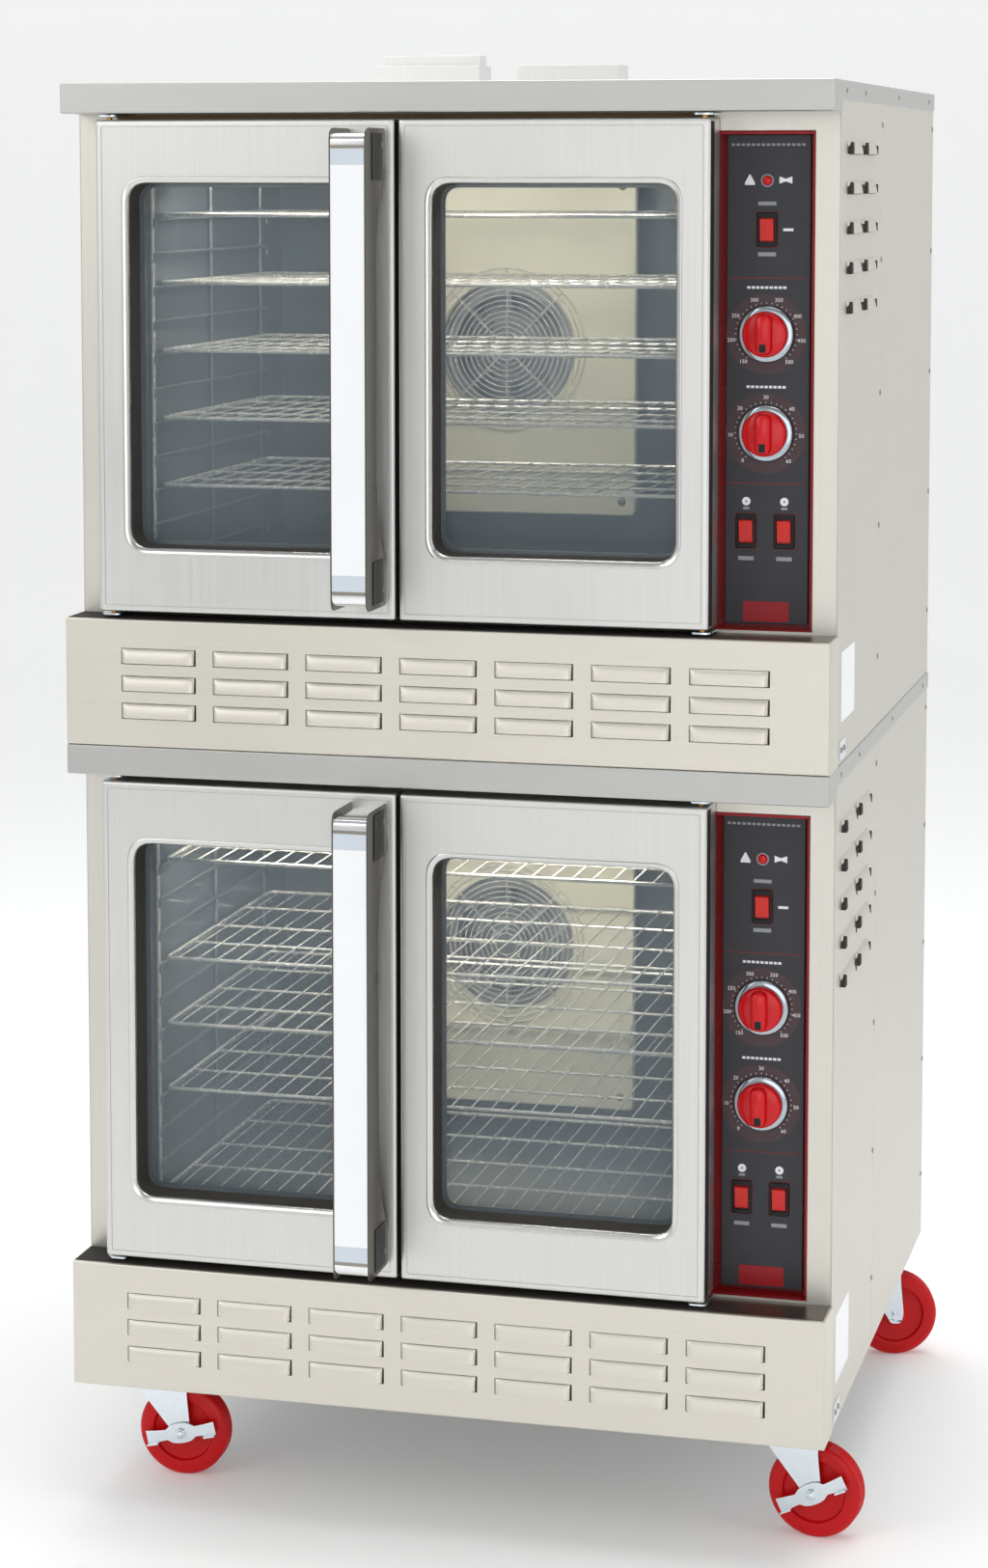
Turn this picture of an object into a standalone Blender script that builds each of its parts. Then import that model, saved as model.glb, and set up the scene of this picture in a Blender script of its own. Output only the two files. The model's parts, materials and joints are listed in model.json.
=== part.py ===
"""Double-deck gas convection oven on swivel casters.

Two equal oven decks are stacked on a base frame. Each deck has a sheet-steel cabinet, a liner
with rack ledges, a pair of linked doors with windows, a control panel, a fan behind a baffle and
a burner under the liner. Metres, +Z up, +X to the right of a person facing the doors.
Shapes are drawn in the body frame, where Y = 0 is the front face of the cabinets and Z = 0 is
the bottom of a deck (or the floor for the base and the casters).
"""

import math

import bmesh
import bpy
from mathutils import Matrix, Vector

# Driving dimensions
WIDTH = 1.016
BODY_DEPTH = 0.890
DECK_HEIGHT = 0.8675
DECK_BOTTOM = 0.170
OVERHANG = 0.065
SHEET = 0.0015
FACE_SHEET = 0.003
GAP = 0.0003

# Cap over each deck
CAP_BOTTOM = 0.828
CAP_FLANGE = 0.025

# Skirt in front of each burner space
SKIRT_TOP = 0.168
LOUVRE_COLUMNS = 7
LOUVRE_PITCH_X = 0.1265
LOUVRE_ROWS = (0.0475, 0.0838, 0.120)
LOUVRE_WIDTH = 0.100
LOUVRE_HEIGHT = 0.019
LOUVRE_DEPTH = 0.005

# Louvres in the right side, beside the controls
SIDE_LOUVRE_Y = (0.052, 0.1785)
SIDE_LOUVRE_ROWS = tuple(0.574 + 0.0505 * row for row in range(5))
SIDE_LOUVRE_SIZE = (0.006, 0.100, 0.016)

# Oven opening and liner
OVEN_X = -0.0545
LINER_HALF_WIDTH = 0.3675
LINER_BOTTOM = 0.214
LINER_TOP = 0.784
LINER_DEPTH = 0.600
RACK_LEVEL_1 = 0.243
RACK_PITCH = 0.045
RACK_LEVELS = 11
LEDGE_WIDTH = 0.014
LEDGE_THICKNESS = 0.003
LEDGE_START = 0.040
LEDGE_END = 0.500

# Doors
DOOR_WIDTH = 0.404
DOOR_BOTTOM = 0.178
DOOR_TOP = 0.820
DOOR_FRONT = -0.062
DOOR_BACK = -0.003
DOOR_GAP = 0.005
DOOR_SKIN = 0.002
WINDOW_MARGIN = 0.044
WINDOW_BOTTOM = 0.263
WINDOW_TOP = 0.738
WINDOW_RADIUS = 0.025
GLASS_FRONT = -0.018
GLASS_THICKNESS = 0.005
VENT_SIZE = (0.200, 0.012)
HINGE_INSET = 0.012
HINGE_Y = -0.040
PIN_RADIUS = 0.004
PIN_REACH = 0.0075
LUG_HALF = 0.014
LUG_THICKNESS = 0.003
LUG_CLEARANCE = 0.0035

# Handle on the left door
HANDLE_WIDTH = 0.048
HANDLE_EDGE = 0.012
HANDLE_BOTTOM = 0.198
HANDLE_TOP = 0.808
HANDLE_REACH = 0.088
HANDLE_FOOT = 0.046
HANDLE_ARCH = 0.040

# Control panel
TRAY_X = (0.346, 0.474)
TRAY_Z = (0.172, 0.805)
TRAY_DEPTH = 0.030
PLATE_X = (0.3535, 0.4645)
PLATE_Z = (0.178, 0.800)
PLATE_FRONT = 0.022
PANEL_X = 0.409
KNOB_Z = {"temp_knob": 0.548, "timer_knob": 0.422}
KNOB_SKIRT_RADIUS = 0.0365
KNOB_RADIUS = 0.0295
KNOB_SHAFT_RADIUS = 0.004
KNOB_SPACE = 0.0008
ROCKERS = {
    "rocker_power": (PANEL_X, 0.680),
    "rocker_light": (PANEL_X - 0.0245, 0.297),
    "rocker_fan": (PANEL_X + 0.0245, 0.297),
}
ROCKER_WIDTH = 0.018
ROCKER_HEIGHT = 0.028
ROCKER_PIVOT_Y = 0.021
ROCKER_SPACE = (0.0008, 0.0020)
BEZEL = (0.027, 0.044)
BEZEL_HEIGHT = 0.003

# Fan, baffle and motor
FAN_Z = 0.499
FAN_RADIUS = 0.105
BAFFLE_HALF_WIDTH = 0.189
BAFFLE_Z = (0.262, 0.752)
BAFFLE_Y = 0.515
GUARD_RADIUS = 0.100
MOTOR_RADIUS = 0.070
MOTOR_LENGTH = 0.150

# Burner and gas pipe
BURNER_Z = 0.110
BURNER_RADIUS = 0.019
PIPE_RADIUS = 0.0135
PIPE_X = -0.300
PIPE_END = BODY_DEPTH + 0.015

# Racks
RACK_HALF_WIDTH = 0.3605
RACK_DEPTH = 0.455
RACK_THICKNESS = 0.005
RACK_FRONT = 0.048
RACKS = {"lower_": (0, 3, 5, 7, 10), "upper_": (2, 4, 6, 8, 10)}

# Base frame and casters
FRAME_BOTTOM = 0.155
CASTER_PLATE_BOTTOM = 0.150
CASTER_X = 0.440
CASTER_FRONT_Y = 0.090
CASTER_REAR_Y = 0.815
WHEEL_RADIUS = 0.0635
WHEEL_SIDES = 28
WHEEL_WIDTH = 0.032
AXLE_HEIGHT = WHEEL_RADIUS * math.cos(math.pi / WHEEL_SIDES)  # a flat facet lies on the floor
CASTER_LEAD = 0.036
FORK_GAP = 0.038
FORK_SHEET = 0.0035
AXLE_RADIUS = 0.0055
AXLE_END = 0.031
LEVER_Y = -0.024
CASTERS = {
    "front_left": (-CASTER_X, CASTER_FRONT_Y, 2.0),
    "front_right": (CASTER_X, CASTER_FRONT_Y, -7.0),
    "rear_left": (-CASTER_X, CASTER_REAR_Y, 170.0),
    "rear_right": (CASTER_X, CASTER_REAR_Y, 15.0),
}
LEVER_TILT = {"front_left": 7.0, "front_right": 20.0}

# Flue vents on the cap
FLUES = ((-0.333, -0.170, 0.045), (-0.111, 0.045, 0.045))
FLUE_Y = (0.800, 0.870)
FLUE_TIER = (-0.329, -0.176, 0.061)

FIXED_PARTS = (
    "cabinet",
    "top_cap",
    "skirt",
    "cavity",
    "control_panel",
    "fan_baffle",
    "fan_motor",
    "burner",
)
DECKS = {"lower_": DECK_BOTTOM, "upper_": DECK_BOTTOM + DECK_HEIGHT + GAP}
FRONT_REACH = DOOR_FRONT - HANDLE_REACH
BODY_Y = -(FRONT_REACH + PIPE_END) / 2  # puts the middle of the whole depth at Y = 0


# ---------------------------------------------------------------- shapes
def boxes(corners):
    """Closed boxes, each given by its lowest and its highest corner, in one bmesh."""
    shape = bmesh.new()
    for low, high in corners:
        low, high = Vector(low), Vector(high)
        middle = Matrix.Translation((low + high) / 2)
        size = Matrix.Diagonal((high - low).to_4d())
        bmesh.ops.create_cube(shape, size=1.0, matrix=middle @ size)
    return shape


def cylinders(rods, segments=24):
    """Closed rods, each given by its two end centres and its radius, in one bmesh."""
    shape = bmesh.new()
    for start, end, radius in rods:
        start, end = Vector(start), Vector(end)
        turn = (end - start).to_track_quat("Z", "Y").to_matrix().to_4x4()
        bmesh.ops.create_cone(
            shape,
            cap_ends=True,
            segments=segments,
            radius1=radius,
            radius2=radius,
            depth=(end - start).length,
            matrix=Matrix.Translation((start + end) / 2) @ turn,
        )
    return shape


def prism(outline, axis, start, end, into=None):
    """A closed outline of two-number points, carried along X, Y or Z from start to end."""
    shape = bmesh.new() if into is None else into
    ends = []
    for place in (start, end):
        ring = []
        for u, v in outline:
            point = [u, v]
            point.insert("XYZ".index(axis), place)
            ring.append(shape.verts.new(point))
        ends.append(ring)
    first, last = ends
    shape.faces.new(first)
    shape.faces.new(last)
    count = len(outline)
    for k in range(count):
        after = (k + 1) % count
        shape.faces.new((first[k], first[after], last[after], last[k]))
    bmesh.ops.recalc_face_normals(shape, faces=shape.faces)
    return shape


def turned(profile, segments=32):
    """A ring with this closed profile of (radius, y) points, turned about the Y axis."""
    shape = bmesh.new()
    verts = [shape.verts.new((radius, y, 0.0)) for radius, y in profile]
    count = len(verts)
    edges = [shape.edges.new((verts[k], verts[(k + 1) % count])) for k in range(count)]
    bmesh.ops.spin(
        shape,
        geom=verts + edges,
        cent=(0, 0, 0),
        axis=(0, 1, 0),
        angle=2 * math.pi,
        steps=segments,
        use_merge=True,
    )
    bmesh.ops.remove_doubles(shape, verts=shape.verts, dist=1e-6)
    bmesh.ops.recalc_face_normals(shape, faces=shape.faces)
    return shape


def moved(shape, offset):
    """The same shape, shifted by an offset."""
    bmesh.ops.translate(shape, verts=shape.verts, vec=offset)
    return shape


def arc(centre, radius, start, end, steps):
    """Points of an arc in a plane; the angles are in degrees."""
    angles = (math.radians(start + (end - start) * k / steps) for k in range(steps + 1))
    return [(centre[0] + radius * math.cos(a), centre[1] + radius * math.sin(a)) for a in angles]


def rounded_rectangle(low, high, radius, steps=5):
    """Outline of a rectangle with round corners."""
    left, right = low[0] + radius, high[0] - radius
    under, over = low[1] + radius, high[1] - radius
    centres = ((right, over), (left, over), (left, under), (right, under))
    outline = []
    for quarter, centre in enumerate(centres):
        outline += arc(centre, radius, 90 * quarter, 90 * quarter + 90, steps)
    return outline


class Solid:
    """One closed body, built up by adding and cutting simple shapes."""

    def __init__(self, shape):
        self.body = self.held("body", shape)

    def held(self, name, shape):
        mesh = bpy.data.meshes.new(name)
        shape.to_mesh(mesh)
        shape.free()
        holder = bpy.data.objects.new(name, mesh)
        bpy.context.collection.objects.link(holder)
        return holder

    def combine(self, shape, operation):
        tool = self.held("tool", shape)
        boolean = self.body.modifiers.new("combine", "BOOLEAN")
        boolean.object = tool
        boolean.operation = operation
        boolean.solver = "EXACT"
        graph = bpy.context.evaluated_depsgraph_get()
        result = bpy.data.meshes.new_from_object(self.body.evaluated_get(graph))
        self.body.modifiers.clear()
        self.body.data = result
        bpy.data.objects.remove(tool)
        return self

    def add(self, shape):
        return self.combine(shape, "UNION")

    def cut(self, shape):
        return self.combine(shape, "DIFFERENCE")

    def mesh(self, pivot=(0, 0, 0), smooth=False):
        """The finished mesh, with its origin at the pivot."""
        result = self.body.data
        bpy.data.objects.remove(self.body)
        result.transform(Matrix.Translation(-Vector(pivot)))
        if smooth:
            result.shade_smooth()
            result.set_sharp_from_angle(angle=math.radians(35))
        return result


# ---------------------------------------------------------------- materials and placing
def material(name, colour, roughness, metallic):
    made = bpy.data.materials.new(name)
    made.use_nodes = True
    shader = made.node_tree.nodes["Principled BSDF"]
    shader.inputs["Base Color"].default_value = (*colour, 1.0)
    shader.inputs["Roughness"].default_value = roughness
    shader.inputs["Metallic"].default_value = metallic
    return made


def place(mesh, name, location, finish, turn=0.0, parent=None):
    """One node: the mesh at this location, turned about Z by this many degrees."""
    node = bpy.data.objects.new(name, mesh)
    if not mesh.materials:
        mesh.materials.append(finish)
    node.location = location
    node.rotation_euler = (0.0, 0.0, math.radians(turn))
    node.parent = parent
    bpy.context.collection.objects.link(node)
    return node


# ---------------------------------------------------------------- cabinet, cap and skirt
def hinge_x(side):
    """X of a door's hinge axis; side is -1 for the left door and 1 for the right one."""
    return OVEN_X + side * (DOOR_GAP / 2 + DOOR_WIDTH - HINGE_INSET)


def cabinet_mesh():
    half = WIDTH / 2 - SHEET
    top = DECK_HEIGHT - SHEET - GAP
    back = BODY_DEPTH - SHEET
    shell = Solid(boxes([((-half, 0, 0), (half, back, top))]))
    inner = half - SHEET
    shell.cut(boxes([((-inner, FACE_SHEET, SHEET), (inner, back - SHEET, top + 0.01))]))
    liner = LINER_HALF_WIDTH + SHEET + GAP
    openings = (
        ((OVEN_X - liner, LINER_BOTTOM - SHEET - GAP), (OVEN_X + liner, LINER_TOP + SHEET + GAP)),
        ((TRAY_X[0], TRAY_Z[0]), (TRAY_X[1], TRAY_Z[1])),
        ((-0.440, 0.020), (0.440, 0.158)),
    )
    shell.cut(boxes([((a[0], -0.01, a[1]), (b[0], 0.02, b[1])) for a, b in openings]))
    hole = ((PIPE_X, back - 0.01, BURNER_Z), (PIPE_X, back + 0.01, BURNER_Z), PIPE_RADIUS + 0.004)
    shell.cut(cylinders([hole], 16))

    lugs, holes = [], []
    for side in (-1, 1):
        x = hinge_x(side)
        for low in (DOOR_BOTTOM - LUG_CLEARANCE - LUG_THICKNESS, DOOR_TOP + LUG_CLEARANCE):
            high = low + LUG_THICKNESS
            lugs.append(((x - LUG_HALF, HINGE_Y - LUG_HALF, low), (x + LUG_HALF, 0.001, high)))
            holes.append(((x, HINGE_Y, low - 0.002), (x, HINGE_Y, high + 0.002), PIN_RADIUS + GAP))
    shell.add(boxes(lugs))
    shell.cut(cylinders(holes, 12))

    depth, length, height = SIDE_LOUVRE_SIZE
    hoods, slots = [], []
    for y in SIDE_LOUVRE_Y:
        for z in SIDE_LOUVRE_ROWS:
            end = y + length
            hoods.append(((half - SHEET / 2, y, z), (half + depth, end, z + height)))
            corner = (half + depth - SHEET, end - SHEET, z + height / 2)
            slots.append(((half - 0.01, y + SHEET, z - SHEET), corner))
    shell.add(boxes(hoods))
    shell.cut(boxes(slots))
    return shell.mesh()


def cap_mesh():
    half = WIDTH / 2
    under = DECK_HEIGHT - SHEET
    behind = BODY_DEPTH - SHEET + GAP
    shell = Solid(boxes([((-half, -OVERHANG, CAP_BOTTOM), (half, BODY_DEPTH, DECK_HEIGHT))]))
    inside = half - SHEET + GAP
    shell.cut(boxes([((-inside, -OVERHANG + SHEET, CAP_BOTTOM + SHEET), (inside, 0.010, under))]))
    shell.cut(boxes([((-inside, -GAP, CAP_BOTTOM - 0.01), (inside, behind, under))]))
    corner = (half + 0.01, BODY_DEPTH + 0.01, DECK_HEIGHT - CAP_FLANGE)
    beside = ((-half - 0.01, -GAP, CAP_BOTTOM - 0.02), corner)
    shell.cut(boxes([beside]))
    return shell.mesh()


def louvre_outline(z):
    """Wedge of one pressed louvre in the Y-Z plane: it leans out downwards and is open below."""
    front = -OVERHANG
    top = z + LOUVRE_HEIGHT / 2
    bottom = z - LOUVRE_HEIGHT / 2
    return [
        (front + SHEET / 2, top),
        (front - LOUVRE_DEPTH, bottom + LOUVRE_HEIGHT / 3),
        (front - LOUVRE_DEPTH, bottom + LOUVRE_HEIGHT / 4),
        (front + SHEET / 2, bottom + LOUVRE_HEIGHT / 4),
    ]


def skirt_mesh():
    half = WIDTH / 2
    shell = Solid(boxes([((-half, -OVERHANG, 0), (half, -GAP, SKIRT_TOP))]))
    inner = half - SHEET
    shell.cut(boxes([((-inner, -OVERHANG + SHEET, SHEET), (inner, 0.01, SKIRT_TOP - SHEET))]))
    for z in LOUVRE_ROWS:
        hoods = bmesh.new()
        slots = []
        under, over = z - LOUVRE_HEIGHT / 2, z - LOUVRE_HEIGHT / 4
        for column in range(LOUVRE_COLUMNS):
            x = (column - (LOUVRE_COLUMNS - 1) / 2) * LOUVRE_PITCH_X
            low, high = x - LOUVRE_WIDTH / 2, x + LOUVRE_WIDTH / 2
            prism(louvre_outline(z), "X", low, high, into=hoods)
            slot = ((low + SHEET, -OVERHANG - 0.01, under), (high - SHEET, -OVERHANG + 0.01, over))
            slots.append(slot)
        shell.add(hoods)
        shell.cut(boxes(slots))
    return shell.mesh()


# ---------------------------------------------------------------- liner and racks
def liner_mesh():
    wide = LINER_HALF_WIDTH
    low = (OVEN_X - wide - SHEET, 0.001, LINER_BOTTOM - SHEET)
    high = (OVEN_X + wide + SHEET, LINER_DEPTH + SHEET, LINER_TOP + SHEET)
    shell = Solid(boxes([(low, high)]))
    room = ((OVEN_X - wide, -0.01, LINER_BOTTOM), (OVEN_X + wide, LINER_DEPTH, LINER_TOP))
    shell.cut(boxes([room]))
    ledges = []
    for level in range(RACK_LEVELS):
        top = RACK_LEVEL_1 + level * RACK_PITCH - GAP
        for side in (-1, 1):
            edge = OVEN_X + side * (wide - LEDGE_WIDTH)
            wall = OVEN_X + side * (wide + SHEET / 2)
            low, high = min(edge, wall), max(edge, wall)
            ledges.append(((low, LEDGE_START, top - LEDGE_THICKNESS), (high, LEDGE_END, top)))
    shell.add(boxes(ledges))
    hole = ((OVEN_X, LINER_DEPTH - 0.01, FAN_Z), (OVEN_X, LINER_DEPTH + 0.01, FAN_Z), 0.012)
    shell.cut(cylinders([hole], 16))
    return shell.mesh()


def rack_mesh():
    """A flat grille about its own middle: an outer frame, one long crossbar and short rungs."""
    half, depth = RACK_HALF_WIDTH, RACK_DEPTH
    grille = Solid(boxes([((-half, 0, 0), (half, depth, RACK_THICKNESS))]))
    rim, bar, columns = 0.008, 0.006, 5
    pitch = (2 * half - rim) / columns
    slots = []
    for column in range(columns):
        low = -half + rim + column * pitch
        for start, end in ((rim, depth / 2 - bar / 2), (depth / 2 + bar / 2, depth - rim)):
            slots.append(((low, start, -0.01), (low + pitch - rim, end, 0.02)))
    grille.cut(boxes(slots))
    return grille.mesh()


# ---------------------------------------------------------------- doors
def door_edges(side):
    """Lowest and highest X of a door."""
    inner = OVEN_X + side * DOOR_GAP / 2
    outer = inner + side * DOOR_WIDTH
    return min(inner, outer), max(inner, outer)


def window_outline(side, inset=0.0):
    low, high = door_edges(side)
    return rounded_rectangle(
        (low + WINDOW_MARGIN + inset, WINDOW_BOTTOM + inset),
        (high - WINDOW_MARGIN - inset, WINDOW_TOP - inset),
        WINDOW_RADIUS - inset,
    )


def door_mesh(side):
    """A hollow sheet door with a window hole; its vent slot is in the bottom edge."""
    low, high = door_edges(side)
    door = Solid(boxes([((low, DOOR_FRONT, DOOR_BOTTOM), (high, DOOR_BACK, DOOR_TOP))]))
    wall = DOOR_SKIN
    front, back = DOOR_FRONT + wall, DOOR_BACK - wall
    left, right = low + WINDOW_MARGIN - wall, high - WINDOW_MARGIN + wall
    under, over = WINDOW_BOTTOM - wall, WINDOW_TOP + wall
    floor, ceiling = DOOR_BOTTOM + wall, DOOR_TOP - wall
    stiles = [
        ((low + wall, front, floor), (left, back, ceiling)),
        ((right, front, floor), (high - wall, back, ceiling)),
    ]
    rails = [
        ((left - 0.001, front, floor), (right + 0.001, back, under)),
        ((left - 0.001, front, over), (right + 0.001, back, ceiling)),
    ]
    door.cut(boxes(stiles))
    door.cut(boxes(rails))
    door.cut(prism(window_outline(side), "Y", DOOR_FRONT - 0.01, DOOR_BACK + 0.01))
    middle = (low + high) / 2
    vent_low = (middle - VENT_SIZE[0] / 2, HINGE_Y - VENT_SIZE[1] / 2, DOOR_BOTTOM - 0.01)
    vent_high = (middle + VENT_SIZE[0] / 2, HINGE_Y + VENT_SIZE[1] / 2, DOOR_BOTTOM + 0.005)
    door.cut(boxes([(vent_low, vent_high)]))
    x = hinge_x(side)
    pins = (
        ((x, HINGE_Y, DOOR_BOTTOM - PIN_REACH), (x, HINGE_Y, DOOR_BOTTOM + wall / 2), PIN_RADIUS),
        ((x, HINGE_Y, DOOR_TOP - wall / 2), (x, HINGE_Y, DOOR_TOP + PIN_REACH), PIN_RADIUS),
    )
    door.add(cylinders(pins, 12))
    return door.mesh(pivot=(x, HINGE_Y, 0))


def glass_mesh(side):
    pane = Solid(prism(window_outline(side, GAP), "Y", GLASS_FRONT, GLASS_FRONT + GLASS_THICKNESS))
    return pane.mesh(pivot=(hinge_x(side), HINGE_Y, 0))


def handle_mesh():
    """A channel handle: a C outline from the side, hollow behind its front face."""
    front = DOOR_FRONT - HANDLE_REACH
    foot = DOOR_FRONT - GAP
    grip = foot - HANDLE_ARCH
    low, high = HANDLE_BOTTOM, HANDLE_TOP
    nose = 0.014
    outline = arc((front + nose, high - nose), nose, 180, 90, 4)
    outline += [(foot, high), (foot, high - HANDLE_FOOT), (grip, high - 2.5 * HANDLE_FOOT)]
    outline += [(grip, low + 2.5 * HANDLE_FOOT), (foot, low + HANDLE_FOOT), (foot, low)]
    outline += arc((front + nose, low + nose), nose, 270, 180, 4)
    left = door_edges(-1)[1] - HANDLE_EDGE - HANDLE_WIDTH
    right = left + HANDLE_WIDTH
    bar = Solid(prism(outline, "X", left, right))
    wall = DOOR_SKIN
    bar.cut(boxes([((left + wall, front + wall, low + wall), (right - wall, foot - 0.012, high - wall))]))
    return bar.mesh(pivot=(hinge_x(-1), HINGE_Y, 0))


# ---------------------------------------------------------------- control panel
def panel_mesh():
    """A recessed tray with a raised plate, three switch frames and two shaft holes."""
    back = TRAY_DEPTH + SHEET
    low = (TRAY_X[0] + GAP, SHEET, TRAY_Z[0] + GAP)
    high = (TRAY_X[1] - GAP, back, TRAY_Z[1] - GAP)
    tray = Solid(boxes([(low, high)]))
    room = ((low[0] + SHEET, -0.01, low[2] + SHEET), (high[0] - SHEET, TRAY_DEPTH, high[2] - SHEET))
    tray.cut(boxes([room]))
    plate = ((PLATE_X[0], PLATE_FRONT, PLATE_Z[0]), (PLATE_X[1], back - SHEET / 2, PLATE_Z[1]))
    tray.add(boxes([plate]))
    frame_front, frame_back = PLATE_FRONT - BEZEL_HEIGHT, PLATE_FRONT + 0.001
    frames, pockets = [], []
    for x, z in ROCKERS.values():
        wide, high = BEZEL[0] / 2, BEZEL[1] / 2
        frames.append(((x - wide, frame_front, z - high), (x + wide, frame_back, z + high)))
        wide, high = ROCKER_WIDTH / 2 + ROCKER_SPACE[0], ROCKER_HEIGHT / 2 + ROCKER_SPACE[1]
        pockets.append(((x - wide, 0.0, z - high), (x + wide, back + 0.01, z + high)))
    tray.add(boxes(frames))
    tray.cut(boxes(pockets))
    bore = KNOB_SHAFT_RADIUS + KNOB_SPACE
    shafts = [((PANEL_X, 0.01, z), (PANEL_X, back + 0.01, z), bore) for z in KNOB_Z.values()]
    tray.cut(cylinders(shafts, 16))
    return tray.mesh()


def knob_mesh():
    """A round knob with a skirt, a raised grip bar and a shaft, about its own axis along Y."""
    back = -0.001
    skirt_front, face, grip = -0.005, -0.019, -0.030
    profile = [
        (KNOB_SHAFT_RADIUS, 0.018),
        (KNOB_SHAFT_RADIUS, back),
        (KNOB_SKIRT_RADIUS, back),
        (KNOB_SKIRT_RADIUS - 0.002, skirt_front),
        (KNOB_RADIUS, skirt_front),
        (KNOB_RADIUS - 0.002, face),
    ]
    solid = bmesh.new()
    ring = [solid.verts.new((radius, y, 0.0)) for radius, y in [(0.0, 0.018)] + profile + [(0.0, face)]]
    edges = [solid.edges.new(pair) for pair in zip(ring, ring[1:])]
    bmesh.ops.spin(solid, geom=ring + edges, cent=(0, 0, 0), axis=(0, 1, 0), angle=2 * math.pi, steps=28)
    bmesh.ops.remove_doubles(solid, verts=solid.verts, dist=1e-6)
    bmesh.ops.recalc_face_normals(solid, faces=solid.faces)
    knob = Solid(solid)
    half, reach = 0.009, KNOB_RADIUS - 0.004
    outline = arc((0.0, reach - half), half, 0, 180, 6) + arc((0.0, -reach + half), half, 180, 360, 6)
    knob.add(prism(outline, "Y", grip, face + 0.004))
    return knob.mesh(smooth=True)


def rocker_mesh():
    """A rocker about its pivot: two faces that meet at the middle, so that one end stands out."""
    high, width = ROCKER_HEIGHT / 2, ROCKER_WIDTH / 2
    front, tilt = -0.0045, 0.0022
    outline = [(front, 0.0), (front - tilt, high), (0.003, high)]
    outline += [(0.005, 0.0), (0.003, -high), (front + tilt, -high)]
    return Solid(prism(outline, "X", -width, width)).mesh()


# ---------------------------------------------------------------- fan, baffle, motor and burner
def baffle_mesh():
    """A plate on four posts, with a round inlet closed by rings and spokes."""
    low, high = OVEN_X - BAFFLE_HALF_WIDTH, OVEN_X + BAFFLE_HALF_WIDTH
    plate = Solid(boxes([((low, BAFFLE_Y, BAFFLE_Z[0]), (high, BAFFLE_Y + 0.002, BAFFLE_Z[1]))]))
    inlet = ((OVEN_X, BAFFLE_Y - 0.01, FAN_Z), (OVEN_X, BAFFLE_Y + 0.01, FAN_Z), GUARD_RADIUS)
    plate.cut(cylinders([inlet], 24))
    spoke = 0.002
    reach = GUARD_RADIUS + 0.004
    front, back = BAFFLE_Y - 0.003, BAFFLE_Y + 0.001
    across = ((OVEN_X - reach, front, FAN_Z - spoke), (OVEN_X + reach, back, FAN_Z + spoke))
    upright = ((OVEN_X - spoke, front, FAN_Z - reach), (OVEN_X + spoke, back, FAN_Z + reach))
    plate.add(boxes([across]))
    plate.add(boxes([upright]))
    inside, outside = GUARD_RADIUS / 2 - spoke, GUARD_RADIUS / 2 + spoke
    section = [(inside, front), (outside, front), (outside, back), (inside, back)]
    plate.add(moved(turned(section, 20), (OVEN_X, 0, FAN_Z)))
    posts = []
    for x in (low + 0.02, high - 0.02):
        for z in (BAFFLE_Z[0] + 0.02, BAFFLE_Z[1] - 0.02):
            posts.append(((x, BAFFLE_Y + 0.001, z), (x, LINER_DEPTH - GAP, z), 0.006))
    plate.add(cylinders(posts, 8))
    return plate.mesh()


def fan_mesh():
    """A blower wheel with a back plate, blades, a front ring and a shaft, about its own axis."""
    front, back, shaft_end = -0.026, 0.026, 0.070
    wheel = Solid(cylinders([((0, back - 0.003, 0), (0, back, 0), FAN_RADIUS)], 24))
    ring = [(0.080, front), (FAN_RADIUS, front), (FAN_RADIUS, front + 0.003), (0.080, front + 0.003)]
    blades = 8
    for blade in range(blades):
        paddle = boxes([((-0.001, front + 0.001, 0.050), (0.001, back - 0.001, FAN_RADIUS - 0.001))])
        turn = Matrix.Rotation(2 * math.pi * blade / blades, 3, "Y")
        bmesh.ops.rotate(paddle, verts=paddle.verts, cent=(0, 0, 0), matrix=turn)
        wheel.add(paddle)
    wheel.add(turned(ring, 24))
    wheel.add(cylinders([((0, -0.012, 0), (0, back - 0.001, 0), 0.018)], 12))
    wheel.add(cylinders([((0, back - 0.006, 0), (0, shaft_end, 0), 0.007)], 12))
    return wheel.mesh()


def motor_mesh():
    """A motor can on its mounting plate behind the liner, with a shaft hole."""
    start, half = LINER_DEPTH + SHEET + GAP, 0.11
    low = (OVEN_X - half, start, FAN_Z - half)
    high = (OVEN_X + half, start + 0.003, FAN_Z + half)
    plate = Solid(boxes([(low, high)]))
    can = ((OVEN_X, start + 0.002, FAN_Z), (OVEN_X, start + 0.002 + MOTOR_LENGTH, FAN_Z), MOTOR_RADIUS)
    plate.add(cylinders([can], 24))
    plate.cut(cylinders([((OVEN_X, start - 0.01, FAN_Z), (OVEN_X, start + 0.070, FAN_Z), 0.009)], 12))
    return plate.mesh(smooth=True)


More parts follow.
